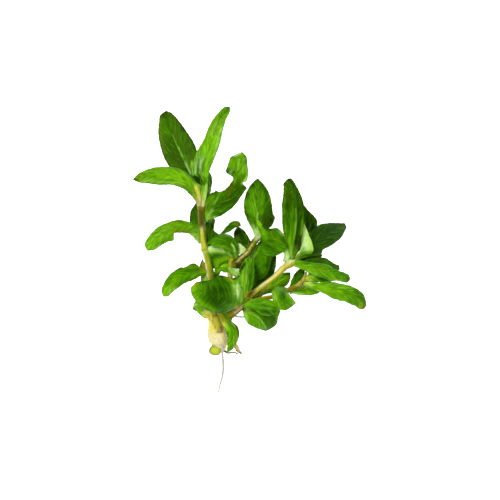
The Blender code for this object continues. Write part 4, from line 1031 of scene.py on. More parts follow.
# The moss and mid marks along its edges near the foot are painted shade, and the pale, lime and vein marks
# low on its right near the foot are painted light where the tall leaf would shade it.
leaf("top_leaf_left", "leaf_bright", [
    (-20.7, 18.4, 16.6), (-22.6, 23.2, 19.4), (-25.2, 26.6, 21.3), (-29.2, 29.2, 22.3), (-36, 29.7, 21.6),
    (-41, 29.6, 19.6), (-46.9, 28, 16.8)], [
    (0, 0.5, 1.6), (0.1, 1.2, 2.8), (0.17, 1.9, 3.8), (0.25, 2.4, 3.1), (0.42, 3.6, 3.3),
    (0.65, 3.8, 3.6), (0.82, 3.1, 2.5), (0.93, 2, 1.4), (1, 0, 0)], rise=(-0.3, -0.2), curl=-0.3,
    body=("fresh", "fresh"), rib=0.05, marks=[
    ("rust", 0.05, 0, 0.07, 0.1, 0.35, 0.5), ("moss", 0.08, 0.65, 0.3, 0.6, 0.8, 0.55),
    ("moss", 0.12, 0.95, 0.3, 0.97, 0.4, 0.6), ("vein", 0.3, 0.3, 0.45, 0.72, 0.35, 0.6),
    ("vein", 0.45, 0.76, 0.9, 0.7, 0.35, 0.6), ("bright", 0.35, 0.1, 0.75, 0.1, 1.4, 0.8),
    ("lime", 0.4, 0.2, 0.6, 0.2, 0.8, 0.5), ("mid", 0.7, 0.15, 0.86, 0.1, 0.35, 0.6),
    ("mid", 0.64, -0.3, 0.85, -0.35, 0.35, 0.6), ("mid", 0.48, 0.42, 0.65, 0.44, 0.3, 0.45),
    ("olive", 0.86, -0.3, 0.93, -0.2, 0.9, 0.6), ("brown", 0.95, 0.6, 1, 0.1, 0.7, 0.8),
    ("bright", 0.22, -0.4, 0.5, -0.35, 1, 0.7), ("mid", 0.22, -0.9, 0.36, -0.9, 0.5, 0.8),
    ("peach", 0, 0, 0.02, 0, 1, 0.9), ("rust", 0.02, 0.3, 0.03, -0.1, 0.35, 0.8),
    ("fresh", 0.1, 0.4, 0.2, 0.4, 0.9, 0.6), ("lime", 0.4, -0.4, 0.5, -0.3, 0.8, 0.6),
    ("olive", 0.72, 0.9, 0.8, 0.9, 0.5, 0.6), ("butter", 0.08, -0.35, 0.19, -0.5, 1, 0.95),
    ("butter", 0.05, -0.8, 0.15, -0.8, 0.7, 0.8), ("rust", 0.11, -0.15, 0.15, -0.1, 0.3, 0.6),
    ("peach", 0, -0.4, 0.05, -0.5, 0.8, 0.7), ("lime", 0.11, -0.95, 0.2, -0.95, 0.35, 0.8),
    ("vein", 0.12, -0.85, 0.18, -0.92, 0.4, 0.85), ("pale", 0.11, -0.88, 0.2, -0.95, 0.5, 0.9),
    ("lime", 0.12, -0.85, 0.2, -0.85, 0.5, 0.6), ("ochre", 0, -0.1, 0.03, -0.1, 0.5, 0.6),
    ("pale", 0.12, -0.88, 0.18, -0.88, 0.35, 0.6)])
# This small leaf stands where the top leaves shade each other, and its dark body and ink mark are painted
# shade.
leaf("top_bud_leaf", "leaf_dark", [
    (-19.7, 19.2, 14.6), (-20.4, 23.5, 16), (-21, 27, 16.3), (-21.6, 30.4, 15.6)], [
    (0, 0.5, 0.5), (0.4, 1.9, 1.9), (0.7, 3, 3.2), (0.88, 2.6, 2.8), (1, 0, 0)], rise=(0.3, 0.3),
    body=("dark", "deep"), rib=0.05, marks=[
    ("ink", 0.6, -0.6, 0.9, 0.4, 1, 0.5), ("moss", 0.2, 0, 0.5, 0.3, 0.8, 0.5)])
leaf("top_leaf_sliver", "leaf_dark", [
    (-17.7, 18.8, 13.2), (-16.4, 23.5, 11.6), (-16, 28, 10), (-16.4, 31.6, 8.6)], [
    (0, 0.5, 0.5), (0.4, 0.9, 0.7), (0.75, 0.9, 0.9), (1, 0, 0)], rise=(-0.4, -0.4), body=("sage", "olive"),
    rib=0.1, marks=[
    ("grey", 0.3, 0.2, 0.6, 0.2, 0.5, 0.6), ("brown", 0.6, -0.8, 0.95, -0.6, 0.4, 0.7),
    ("mid", 0.2, 0, 0.85, 0, 1, 0.7), ("fresh", 0.3, -0.2, 0.5, -0.2, 0.6, 0.6),
    ("vein", 0.3, -0.2, 0.5, -0.2, 0.6, 0.75), ("pale", 0.32, -0.2, 0.48, -0.2, 0.4, 0.5)])
count_made()

# %% [markdown]
# Snails or shrimps have bitten two leaves further down. The right one is eaten through to a narrow bridge,
# and the left one has lost a piece of its lower edge. A dark leaf stands behind the stem between them.

# %% The bitten leaves
# The lime, bright, butter and pale marks near its foot on the left are painted light, where the top leaves
# and the stem would shade it.
leaf("bitten_leaf_right", "leaf_mid", [
    (-17.1, 12.2, 14.2), (-14.8, 16.6, 14.8), (-11.2, 19.6, 15.6), (-7.6, 23.2, 16.4), (-5.4, 28, 17.2),
    (-4.4, 33.6, 18.6), (-3.1, 39.2, 20)], [
    (0, 0.6, 0.6), (0.04, 2.2, 2.2), (0.08, 3, 3.2), (0.17, 4.6, 4.5), (0.27, 5.2, 4.6),
    (0.315, 4.6, 4.8), (0.335, 5, 4.8), (0.355, 3.6, 4.8), (0.4, 2.9, 4.7), (0.47, 2.4, 4.4),
    (0.545, 1.9, 4.6), (0.585, 1.7, 5.1), (0.625, 1.4, 2.6), (0.655, 1.5, 4.1), (0.7, 4.5, 4.2),
    (0.74, 4.9, 4.1), (0.82, 4.4, 3.6), (0.89, 4.2, 2.9), (0.95, 2.3, 2.3), (1, 0, 0)], rise=(-0.1, 0.2),
    body=("dark", "dark"), rib=0.1, tip="sage", marks=[
    ("pale", 0, 0.1, 0.13, 0, 0.8, 0.7), ("mid", 0.1, 0.4, 0.34, 0.5, 1.8, 0.75),
    ("mid", 0.1, -0.65, 0.35, -0.7, 1, 0.6), ("olive", 0.45, 0.3, 0.58, 0.4, 1.2, 0.5),
    ("brown", 0.36, 1, 0.6, 0.95, 0.45, 0.7), ("fresh", 0.72, -0.2, 0.92, -0.2, 2.6, 0.9),
    ("fresh", 0.8, 0.5, 0.95, 0.3, 1.5, 0.8), ("grey", 0.69, 0.8, 0.75, 0.55, 0.8, 0.7),
    ("ink", 0.7, 0.6, 0.74, 0.3, 0.35, 0.6), ("pale", 0.74, -0.5, 0.92, -0.5, 0.35, 0.5),
    ("pale", 0.76, 0.05, 0.9, 0.1, 0.3, 0.4), ("vein", 0.2, 0.2, 0.3, 0.45, 0.35, 0.5),
    ("deep", 0.28, -0.3, 0.4, -0.6, 1.2, 0.6), ("moss", 0, -0.6, 0.08, -0.6, 0.8, 0.7),
    ("pale", 0.62, -0.95, 0.7, -0.95, 0.5, 0.85), ("milk", 0.93, 0.85, 0.98, 0.6, 0.5, 0.8),
    ("leaf", 0.8, -0.3, 0.88, -0.5, 0.8, 0.6), ("deep", 0.38, -0.1, 0.62, -0.2, 0.9, 0.4),
    ("bright", 0.1, 0.85, 0.2, 0.85, 0.9, 0.8), ("bark", 0.335, 1, 0.34, 1, 0.35, 0.9),
    ("lime", 0.06, 0.75, 0.24, 0.8, 1, 0.85), ("lime", 0.8, 0.85, 0.88, 0.8, 0.8, 0.6),
    ("fresh", 0.61, 0.2, 0.68, 0.2, 0.7, 0.7), ("lime", 0.72, -0.88, 0.84, -0.85, 0.5, 0.7),
    ("vein", 0, -0.7, 0.07, -0.8, 0.8, 0.6), ("vein", 0.08, 0.75, 0.16, 0.75, 0.6, 0.7),
    ("pale", 0.36, 0.97, 0.44, 0.97, 0.3, 0.6), ("butter", 0.1, 0.72, 0.16, 0.75, 0.5, 0.7),
    ("lime", 0.08, 0.7, 0.18, 0.75, 0.5, 0.5), ("pale", 0.11, 0.72, 0.15, 0.74, 0.35, 0.6)])
leaf("stem_leaf_behind", "leaf_dark", [
    (-19.4, 8.6, 11), (-20.2, 14, 10), (-20, 20.4, 8.6)], [
    (0, 0.7, 0.7), (0.1, 3, 1.4), (0.25, 4.2, 2.2), (0.55, 3.7, 2.6), (0.8, 1.9, 1.8), (1, 0, 0)],
    body=("moss", "moss"), rib=0.1, marks=[
    ("ink", 0.3, 0.9, 0.7, 0.9, 0.8, 0.8), ("olive", 0.3, 0.1, 0.6, 0.1, 0.7, 0.4)])
leaf("bitten_leaf_left", "leaf_bright", [
    (-20.6, 9.6, 14.4), (-24.2, 9.5, 16.2), (-28.8, 9, 17.8), (-33.6, 7.2, 18), (-38, 4, 16.8),
    (-41, -0.4, 14.6)], [
    (0, 7.1, 0.5), (0.03, 6, 0.6), (0.055, 5.7, 0.7), (0.08, 5.1, 0.9), (0.1, 4.4, 1), (0.13, 3.8, 1.5),
    (0.17, 3, 1.9), (0.33, 2.3, 3.1), (0.43, 1.9, 3.2), (0.485, 4.5, 3.2), (0.61, 3.9, 3.4),
    (0.8, 3.3, 2.9), (0.93, 2.3, 2.3), (1, 0, 0)], rise=(-0.15, -0.15), curl=-0.25, body=("fresh", "fresh"),
    rib=0.05, root=2.6, marks=[
    ("moss", 0, -0.4, 0.06, -0.3, 1.3, 0.6), ("olive", 0.08, 0.5, 0.42, 0.55, 1.2, 0.6),
    ("brown", 0.35, 0.5, 0.45, 0.7, 0.5, 0.5), ("brown", 0.43, 0.95, 0.47, 0.95, 0.35, 0.7),
    ("olive", 0.2, -0.8, 0.45, -0.85, 0.5, 0.6), ("vein", 0.58, 0.35, 0.65, 0.25, 0.45, 0.6),
    ("vein", 0.5, -0.3, 0.8, -0.35, 0.35, 0.5), ("moss", 0.55, 0.7, 0.85, 0.7, 0.4, 0.5),
    ("bright", 0.6, 0.2, 0.85, 0.1, 1.4, 0.4), ("lime", 0.86, -0.2, 0.95, -0.2, 0.9, 0.55),
    ("pale", 0.41, 0.95, 0.5, 0.95, 0.4, 0.7), ("mid", 0.52, -0.5, 0.62, -0.4, 1.2, 0.5),
    ("pale", 0.62, -0.95, 0.8, -0.95, 0.4, 0.6), ("lime", 0.9, 0.2, 0.98, 0.1, 0.8, 0.6),
    ("vein", 0, 0.45, 0.06, 0.55, 1.5, 0.9), ("pale", 0, 0.95, 0.12, 0.95, 0.7, 0.85),
    ("vein", 0.78, 0.85, 0.9, 0.85, 0.6, 0.7), ("leaf", 0, 0.38, 0.07, 0.42, 0.6, 0.75),
    ("pale", 0.43, 0.9, 0.47, 0.8, 0.4, 0.6), ("leaf", 0.04, 0.42, 0.11, 0.42, 0.5, 0.7),
    ("lime", 0, 0.6, 0.04, 0.7, 0.5, 0.5), ("milk", 0, 0.8, 0.03, 0.8, 0.35, 0.5)])
count_made()

# %% [markdown]
# Half way down, one small leaf shows its dark upper side and its neighbour its pale underside.

# %% The leaves in the middle of the main shoot
# The lime mark along its left edge is painted light, where the leaves above would shade it.
leaf("node_leaf_dark", "leaf_dark", [
    (-16.1, 1.9, 10.9), (-15.9, 6, 10.4), (-15.6, 9.6, 9.7), (-14.9, 13.5, 9)], [
    (0, 0.9, 0.9), (0.1, 2.1, 3.8), (0.22, 2.1, 4), (0.36, 2, 3.7), (0.44, 2, 2.6), (0.5, 2.2, 1.5),
    (0.56, 2.4, 1.2), (0.85, 2.4, 1.3), (1, 0, 0)], body=("moss", "dark"), rib=0.1, marks=[
    ("ink", 0.45, -0.3, 0.9, 0.2, 0.9, 0.7), ("leaf", 0.1, 0.3, 0.4, 0.3, 0.7, 0.6),
    ("ink", 0.15, -0.6, 0.35, -0.9, 0.7, 0.6), ("grey", 0.84, 0.1, 0.98, -0.2, 0.7, 0.85),
    ("bark", 0.3, -0.93, 0.4, -0.95, 0.4, 0.7), ("fresh", 0.2, 0.8, 0.3, 0.8, 0.8, 0.7),
    ("leaf", 0.55, 0.3, 0.7, 0.3, 0.8, 0.7), ("grey", 0.84, 0.3, 0.92, 0.3, 0.6, 0.8),
    ("lime", 0.32, 0.85, 0.56, 0.85, 0.9, 0.9), ("pale", 0.82, 0.3, 0.92, 0.3, 0.5, 0.7),
    ("grey", 0.76, -0.2, 0.88, -0.3, 0.5, 0.5)])
# The milk and pale marks along its middle are partly its pale underside and partly painted light, where the
# arching leaf above would shade it.
leaf("node_leaf_underside", "leaf_pale", [
    (-16.2, 0.6, 13.4), (-12.8, 0.9, 14.3), (-9.6, 0.2, 14.4), (-5.8, -3.2, 13.4)], [
    (0, 0.8, 8.2), (0.05, 0.9, 8.3), (0.2, 0.9, 8.7), (0.45, 0.8, 8.2), (0.65, 0.7, 7.2), (0.85, 0.6, 5),
    (1, 0, 0)], rise=(-1.0, -0.35), body=("pale", "mid"), under="dark", marks=[
    ("milk", 0, -0.02, 0.52, -0.03, 0.8, 1), ("pale", 0, -0.14, 0.52, -0.14, 0.6, 0.9),
    ("pale", 0.52, -0.05, 0.9, -0.25, 0.45, 0.9), ("ink", 0.02, -0.45, 0.5, -0.36, 0.7, 0.8),
    ("ink", 0.02, -0.7, 0.12, -0.9, 0.8, 0.7), ("fresh", 0.25, -0.62, 0.6, -0.7, 1.1, 0.8),
    ("bright", 0.7, -0.6, 0.85, -0.5, 1.2, 0.9), ("ochre", 0.85, -0.5, 0.97, -0.3, 1, 0.7),
    ("olive", 0.02, -0.9, 0.1, -0.95, 0.5, 0.5), ("bright", 0.1, -0.8, 0.9, -0.85, 1.1, 0.95),
    ("pale", 0.12, 0.05, 0.5, 0, 0.5, 0.75), ("bright", 0.55, -0.95, 0.8, -0.98, 0.5, 0.8),
    ("lime", 0.25, -0.88, 0.5, -0.92, 0.7, 0.8), ("milk", 0.2, 0.12, 0.45, 0.02, 0.6, 0.6),
    ("moss", 0.22, -0.27, 0.34, -0.32, 0.35, 0.6), ("milk", 0.3, 0, 0.4, 0, 0.35, 0.6),
    ("dark", 0.3, -0.25, 0.34, -0.25, 0.3, 0.6)])
count_made()

# %% [markdown]
# The lowest leaves of the main shoot lie to both sides of its stem. One is behind it in the shade, one droops
# and shows its pale side, and a narrow one is seen almost from its edge.

# %% The main shoot's lowest leaves
leaf("low_leaf_right", "leaf_mid", [
    (-14.2, -11.4, 9.8), (-13.4, -9, 10.4), (-12.5, -6.8, 10.7), (-10.4, -5.9, 10.9), (-7.4, -5.3, 10.9)], [
    (0, 0.9, 1), (0.3, 1, 1.5), (0.5, 1.8, 2.7), (0.8, 2.4, 3.3), (0.94, 1, 1.4), (1, 0, 0)],
    body=("leaf", "fresh"), rib=0.1, marks=[
    ("lime", 0.6, 0, 0.85, -0.2, 1, 0.6), ("pale", 0.45, 0.9, 0.95, 0.95, 0.4, 0.8),
    ("moss", 0, 0, 0.35, -0.3, 0.9, 0.6), ("ink", 0.12, -0.2, 0.28, -0.4, 0.7, 0.85),
    ("bright", 0.34, 0.2, 0.5, -0.2, 0.8, 0.8), ("lime", 0.84, 0.1, 0.98, -0.2, 0.8, 0.8),
    ("lime", 0.6, 0.25, 0.88, 0.25, 1, 0.8), ("lime", 0.3, -0.3, 0.4, -0.3, 0.6, 0.6)])
leaf("low_leaf_left", "leaf_mid", [
    (-17.9, -8.9, 10.8), (-21.6, -8.6, 12.4), (-25.2, -9.6, 13.2), (-29.2, -11.8, 12.8),
    (-32.4, -15.4, 11.4), (-34.5, -18.8, 10)], [
    (0, 0.8, 0.8), (0.1, 2.1, 1.8), (0.22, 3, 3.5), (0.34, 3.2, 2.8), (0.42, 3.1, 3.5), (0.62, 3, 3.4),
    (0.82, 2.2, 2.8), (0.94, 1.6, 1.8), (1, 0, 0)], rise=(-0.1, 0.1), curl=-0.15, body=("leaf", "leaf"),
    rib=0.05, marks=[
    ("ochre", 0, 0, 0.07, 0, 1.5, 0.9), ("moss", 0.14, -0.3, 0.36, -0.4, 1.1, 0.7),
    ("bright", 0.62, 0.1, 0.86, -0.2, 1.4, 0.8), ("brown", 0.18, -0.95, 0.55, -0.97, 0.45, 0.7),
    ("grey", 0.76, 0.75, 0.92, 0.6, 0.6, 0.6), ("olive", 0.19, -0.65, 0.25, -0.6, 0.45, 0.6),
    ("vein", 0.14, 0.3, 0.3, 0.5, 0.35, 0.5), ("moss", 0.35, 0.6, 0.7, 0.7, 0.5, 0.5),
    ("pale", 0.7, 0.93, 0.93, 0.9, 0.5, 0.75), ("lime", 0.8, -0.25, 0.94, -0.2, 0.9, 0.7),
    ("moss", 0.42, -0.8, 0.56, -0.85, 0.7, 0.6), ("grey", 0.76, -0.95, 0.9, -0.9, 0.4, 0.6),
    ("bright", 0, 0.8, 0.18, 0.85, 0.9, 0.9), ("lime", 0.92, 0.2, 0.98, 0.1, 0.7, 0.7),
    ("fresh", 0.7, -0.85, 0.9, -0.85, 0.6, 0.7), ("fresh", 0.08, 0.1, 0.2, 0.3, 0.8, 0.5),
    ("lime", 0, 0.7, 0.1, 0.85, 1, 0.95), ("vein", 0.76, 0.5, 0.86, 0.5, 0.7, 0.7)])
leaf("low_leaf_behind", "leaf_dark", [
    (-17, -10.6, 7.6), (-18.8, -8, 7.8), (-19.1, -3.4, 8.4)], [
    (0, 0.6, 0.6), (0.35, 1.6, 1.8), (0.7, 0.7, 1.4), (1, 0, 0)], body=("grey", "ochre"), marks=[
    ("moss", 0.4, 0.6, 1, 0.4, 0.5, 0.8), ("rust", 0.1, -0.2, 0.4, -0.4, 0.5, 0.4)])
leaf("low_leaf_drooping", "leaf_pale", [
    (-17.9, -8.8, 9.4), (-18.3, -11.6, 9.2), (-17.9, -14.6, 8.8)], [
    (0, 0.7, 0.9), (0.4, 1.7, 1.5), (0.75, 1.6, 1.3), (1, 0, 0)], body=("pale", "grey"), marks=[
    ("sage", 0.5, 0.4, 0.9, 0.2, 0.7, 0.6), ("ochre", 0, -0.4, 0.3, -0.4, 0.6, 0.7),
    ("pale", 0.2, 0, 0.8, 0, 1, 0.6), ("pale", 0.2, -0.3, 0.35, -0.3, 0.6, 0.8),
    ("bright", 0.2, -0.3, 0.32, -0.3, 0.3, 0.4)])
leaf("node_leaf_narrow", "leaf_mid", [
    (-16.2, 2.9, 13.4), (-13.4, 4.7, 14.2), (-11.2, 6.4, 14.8), (-8.8, 8.8, 15.6), (-6, 10.7, 15.8),
    (-3.6, 9.6, 14.8)], [
    (0, 0.4, 0.4), (0.3, 0.4, 0.4), (0.45, 0.6, 0.7), (0.6, 0.8, 1.6), (0.75, 1, 1.7), (0.9, 0.9, 1.7),
    (1, 0, 0)], rise=(-0.5, -0.2), body=("mid", "moss"), marks=[
    ("dark", 0.3, -0.8, 0.85, -0.8, 0.4, 0.6), ("olive", 0.85, 0, 0.97, -0.4, 0.9, 0.8),
    ("brown", 0.93, 0.2, 1, -0.2, 0.5, 0.7), ("deep", 0.38, 0.3, 0.68, 0.2, 0.6, 0.85),
    ("fresh", 0.3, -0.4, 0.6, -0.6, 0.35, 0.5), ("moss", 0.7, 0.3, 0.85, 0.2, 0.6, 0.6)])
count_made()

# %% [markdown]
# Round the foot the leaves are short and broad and overlap like tiles. The round one in front hides most of
# the rootstock's top, and the deep marks in its middle are painted shade, darkest where it lies nearly flat
# to the viewer.

# %% The leaves at the foot
leaf("round_leaf", "leaf_dark", [
    (-5.2, -22.6, 12.4), (-7.8, -20.8, 16.6), (-10.8, -19, 18.6), (-16.8, -17.6, 19.4), (-23.7, -15, 17.6)], [
    (0, 0.8, 0.8), (0.06, 2.4, 2), (0.14, 5, 3.6), (0.3, 6.7, 8.3), (0.46, 6.7, 8.4), (0.66, 5.8, 5.9),
    (0.83, 4, 4.2), (0.94, 2.1, 3), (1, 0, 0)], rise=(-0.05, -0.05), curl=-0.25, body=("dark", "dark"),
    tip="ochre", slant=0.4, marks=[
    ("ochre", 0, 0.6, 0.05, -0.6, 1.3, 0.85), ("mid", 0.08, 0.9, 0.32, 0.85, 1.5, 0.75),
    ("deep", 0.3, 0.3, 0.58, 0.2, 2.6, 0.65), ("deep", 0.35, -0.35, 0.5, -0.4, 1.6, 0.5),
    ("mid", 0.62, 0.7, 0.74, 0.1, 1.6, 0.7), ("leaf", 0.77, 0.7, 0.84, -0.5, 1.7, 0.85),
    ("fresh", 0.9, 0.4, 0.95, -0.3, 1.2, 0.9), ("ochre", 0.92, -0.8, 1, -0.2, 0.7, 0.8),
    ("bark", 0.28, -0.98, 0.5, -0.98, 0.5, 0.8), ("leaf", 0.1, -0.3, 0.22, -0.75, 1.1, 0.6),
    ("mid", 0.55, -0.6, 0.72, -0.85, 1.5, 0.6), ("mid", 0.3, 0.97, 0.62, 0.97, 0.9, 0.7),
    ("brown", 0.13, -0.5, 0.15, -0.55, 0.4, 0.6), ("leaf", 0.08, -0.5, 0.24, -0.5, 0.9, 0.5),
    ("bright", 0.86, 0.6, 0.95, 0.2, 0.7, 0.6), ("bright", 0.1, -0.88, 0.3, -0.9, 1.1, 0.85),
    ("fresh", 0.46, 0.9, 0.92, 0.82, 1, 0.8), ("mid", 0.1, 0.4, 0.24, 0.3, 1.2, 0.6),
    ("bright", 0.9, 0.1, 0.97, 0.1, 0.9, 0.6), ("mid", 0.1, -0.3, 0.26, -0.35, 1.2, 0.6),
    ("bright", 0.68, 0.88, 0.92, 0.75, 0.9, 0.7), ("mid", 0.3, -0.88, 0.5, -0.88, 0.9, 0.6),
    ("mid", 0.33, -0.55, 0.43, -0.6, 0.8, 0.7), ("pale", 0.19, -0.76, 0.26, -0.8, 0.6, 0.85),
    ("lime", 0.31, -0.9, 0.37, -0.92, 0.6, 0.7), ("pear", 0.28, -0.97, 0.38, -0.97, 0.4, 0.5),
    ("edge", 0.36, -0.9, 0.41, -0.9, 0.4, 0.7)])
# Its butter, milk and pale marks are partly its own yellow and partly painted light, where the round leaf
# would shade it.
leaf("foot_leaf_left", "leaf_bright", [
    (-15.6, -27.2, 8.8), (-18.4, -24.6, 10), (-21, -23.2, 10.2), (-23, -23.7, 9.6)], [
    (0, 0.7, 0.7), (0.25, 2.2, 3), (0.6, 2, 4.6), (0.84, 1.4, 2.6), (0.95, 0.8, 0.6), (1, 0, 0)],
    body=("bright", "bright"), marks=[
    ("leaf", 0.6, -0.8, 0.85, -0.7, 1.2, 0.8), ("leaf", 0.35, -0.95, 0.6, -0.95, 0.8, 0.6),
    ("brown", 0.92, -0.2, 0.99, 0.2, 0.55, 0.9), ("pear", 0, 0.3, 0.16, 0.2, 1.1, 0.8),
    ("olive", 0.12, -0.9, 0.18, -0.9, 0.5, 0.8), ("pale", 0.2, 0.6, 0.42, 0.6, 0.7, 0.8),
    ("pale", 0.78, 0.2, 0.88, -0.3, 0.5, 0.6), ("butter", 0, 0.2, 0.1, -0.2, 1.8, 0.8),
    ("milk", 0.16, -0.1, 0.34, 0, 1.1, 0.75), ("pale", 0.12, 0.4, 0.34, 0.3, 1, 0.7),
    ("pale", 0.8, -0.5, 0.9, -0.9, 0.5, 0.75), ("butter", 0, 0.7, 0.02, -0.9, 1.2, 1),
    ("butter", 0.12, 0.4, 0.3, 0.3, 1, 0.9), ("butter", 0.22, -0.2, 0.32, -0.2, 0.7, 0.7),
    ("olive", 0.12, -0.3, 0.15, -0.35, 0.45, 0.7), ("butter", 0, 0.2, 0, -0.3, 1.5, 1),
    ("butter", 0, -0.1, 0.06, -0.2, 0.5, 0.6)])
# The butter, pear and lime marks near its foot are partly its own yellow and partly painted light, where the
# round leaf would shade it.
leaf("foot_leaf_right", "leaf_bright", [
    (-12, -25.2, 9.2), (-9.8, -28.6, 9.5), (-7.6, -31.8, 9.5), (-6.9, -34.6, 9.2), (-7.6, -38, 8.4),
    (-9.2, -41, 7.4)], [
    (0, 1.6, 1.2), (0.12, 2.6, 1.5), (0.2, 3, 1.7), (0.26, 2.9, 1.8), (0.31, 2, 1.9), (0.48, 3, 2.3),
    (0.72, 2, 1.9), (0.9, 1.1, 1), (1, 0, 0)], rise=(-0.4, 0.1), body=("leaf", "fresh"), marks=[
    ("ochre", 0, 0.3, 0.14, -0.1, 1, 0.85), ("rust", 0.05, 0.1, 0.12, -0.2, 0.6, 0.5),
    ("brown", 0.26, 0.9, 0.5, 0.97, 0.6, 0.85), ("moss", 0.28, 0.5, 0.5, 0.35, 0.4, 0.7),
    ("mid", 0.5, 0.75, 0.85, 0.7, 0.6, 0.6), ("fresh", 0.5, 0.25, 0.85, 0.2, 0.8, 0.8),
    ("moss", 0.45, -0.05, 0.75, -0.1, 0.3, 0.5), ("brown", 0.4, 0.98, 0.62, 0.95, 0.4, 0.8),
    ("grey", 0.64, 0.95, 0.86, 0.95, 0.5, 0.7), ("leaf", 0.45, -0.8, 0.62, -0.9, 0.8, 0.7),
    ("leaf", 0.82, -0.3, 0.96, -0.2, 1, 0.8), ("lime", 0.2, -0.5, 0.42, -0.5, 0.9, 0.7),
    ("pear", 0.02, 0.6, 0.24, 0.5, 0.8, 0.5), ("brown", 0.34, 0.98, 0.62, 0.95, 0.45, 0.6),
    ("ochre", 0.66, 0.9, 0.85, 0.85, 0.5, 0.5), ("butter", 0, -0.75, 0.26, -0.8, 1.2, 1),
    ("pear", 0, -0.25, 0.17, -0.3, 0.8, 0.9), ("fresh", 0.04, 0.3, 0.2, 0.3, 0.6, 0.6),
    ("moss", 0.5, -0.9, 0.58, -0.9, 0.5, 0.7), ("lime", 0.1, 0.66, 0.17, 0.66, 0.5, 0.8),
    ("pale", 0.33, 0.65, 0.42, 0.65, 0.35, 0.5), ("pear", 0.12, -0.7, 0.2, -0.7, 0.4, 0.6),
    ("butter", 0.1, -0.85, 0.16, -0.8, 0.35, 0.6)])
count_made()

# %% [markdown]
# To the right of the round leaf a bright blade stands upright in front of a broad dark one, and a small pale
# one hangs beside them.

# %% The upright leaves
# Its milk marks are a painted highlight, made brighter where the round leaf would shade it.
leaf("hanging_leaf_small", "leaf_pale", [
    (-4.4, -21.4, 13), (-4.5, -17.2, 15), (-5.2, -13.6, 15.8), (-5.4, -10.8, 15.2)], [
    (0, 1, 1), (0.2, 1.3, 1.8), (0.5, 1.5, 2), (0.75, 1.9, 2), (0.92, 2.7, 2), (1, 0, 0)], rise=(0.3, 0.3),
    body=("pale", "sage"), marks=[
    ("milk", 0.32, 0.3, 0.55, 0, 0.8, 0.95), ("deep", 0, 0.3, 0.22, -0.4, 0.9, 0.75),
    ("fresh", 0.68, 0.2, 0.95, 0.1, 1.5, 0.95), ("moss", 0.3, 0.85, 0.6, 0.85, 0.4, 0.6),
    ("bright", 0.12, -0.6, 0.34, -0.8, 0.8, 0.8), ("lime", 0.6, 0.2, 0.78, 0.1, 0.9, 0.6),
    ("pale", 0.54, -0.4, 0.64, -0.6, 0.6, 0.8), ("moss", 0.92, 0.4, 1, -0.2, 0.7, 0.8),
    ("milk", 0.5, 0.25, 0.62, 0.25, 1.1, 1), ("milk", 0.3, 0.3, 0.6, 0, 1.2, 0.8),
    ("leaf", 0.25, -0.6, 0.8, -0.6, 0.7, 0.75), ("olive", 0.95, 0.5, 1, 0.8, 0.5, 0.8),
    ("fresh", 0.3, -0.2, 0.6, -0.2, 0.5, 0.65), ("bark", 0.97, 0.6, 1, 1, 0.6, 0.8),
    ("edge", 0.93, 0.6, 1, 0.7, 0.5, 0.7), ("leaf", 0.12, 0.2, 0.26, 0.2, 0.7, 0.6),
    ("bark", 0.9, 0.9, 1, 0.8, 0.4, 0.7)])
leaf("upright_leaf", "leaf_bright", [
    (-1.9, -18.2, 14), (-1.4, -14.8, 15.6), (-1.2, -8.8, 16.6), (-0.6, -2.6, 16)], [
    (0, 0.9, 0.9), (0.2, 2.4, 2.2), (0.45, 2.7, 2.9), (0.62, 3.2, 2.9), (0.8, 2.2, 2.6), (0.92, 1.3, 2.3),
    (1, 0, 0)], rise=(0.3, 0.3), body=("fresh", "leaf"), rib=0.1, slant=9.0, marks=[
    ("rust", 0, 0, 0.07, -0.3, 1, 0.75), ("vein", 0.2, 0.62, 0.65, 0.55, 0.3, 0.6),
    ("vein", 0.3, 0.12, 0.85, 0.02, 0.3, 0.8), ("deep", 0.15, -0.5, 0.7, -0.45, 0.35, 0.8),
    ("vein", 0.3, -0.25, 0.8, -0.22, 0.25, 0.4), ("moss", 0.2, -0.9, 0.95, -0.8, 0.6, 0.85),
    ("dark", 0.65, 0.95, 0.82, 0.9, 0.5, 0.7), ("mid", 0.86, 0, 1, 0, 1.2, 0.6),
    ("moss", 0.16, -0.93, 0.95, -0.9, 0.8, 0.9), ("deep", 0.58, 0.92, 0.8, 0.9, 0.7, 0.8),
    ("moss", 0.1, 0.85, 0.2, 0.85, 0.6, 0.7), ("mid", 0.62, 0, 0.9, -0.2, 1, 0.5),
    ("deep", 0.68, 0.7, 0.78, 0.6, 0.5, 0.8), ("ink", 0.7, 0.75, 0.8, 0.6, 0.5, 0.85),
    ("ink", 0.72, 0.65, 0.8, 0.6, 0.5, 0.7)])
leaf("broad_leaf_behind", "leaf_dark", [
    (0.8, -16.2, 10.2), (3.2, -11.2, 9.4), (5.6, -4.8, 8.4), (6.8, 3, 7.4)], [
    (0, 0.8, 0.8), (0.2, 3.6, 3.2), (0.45, 4.8, 5.2), (0.7, 4.4, 4.6), (0.88, 2.6, 3), (1, 0, 0)],
    body=("moss", "dark"), rib=0.1, marks=[
    ("moss", 0.2, 0.4, 0.5, 0.7, 0.5, 0.6), ("mid", 0.45, -0.3, 0.65, 0.2, 1.6, 0.7),
    ("leaf", 0.35, 0.1, 0.5, 0, 0.5, 0.6), ("leaf", 0, 0.2, 0.3, 0.2, 1.2, 0.7),
    ("mid", 0, 0.3, 0.16, 0.3, 1, 0.8), ("mid", 0.66, -0.6, 0.78, -0.65, 0.7, 0.7),
    ("mid", 0.5, -0.95, 0.62, -0.95, 0.5, 0.6), ("grey", 0.55, -0.9, 0.66, -0.92, 0.4, 0.6)])
count_made()

# %% [markdown]
# Under the right shoot's stem a bright leaf lies on a larger, darker one, and a third reaches up behind the
# stem.

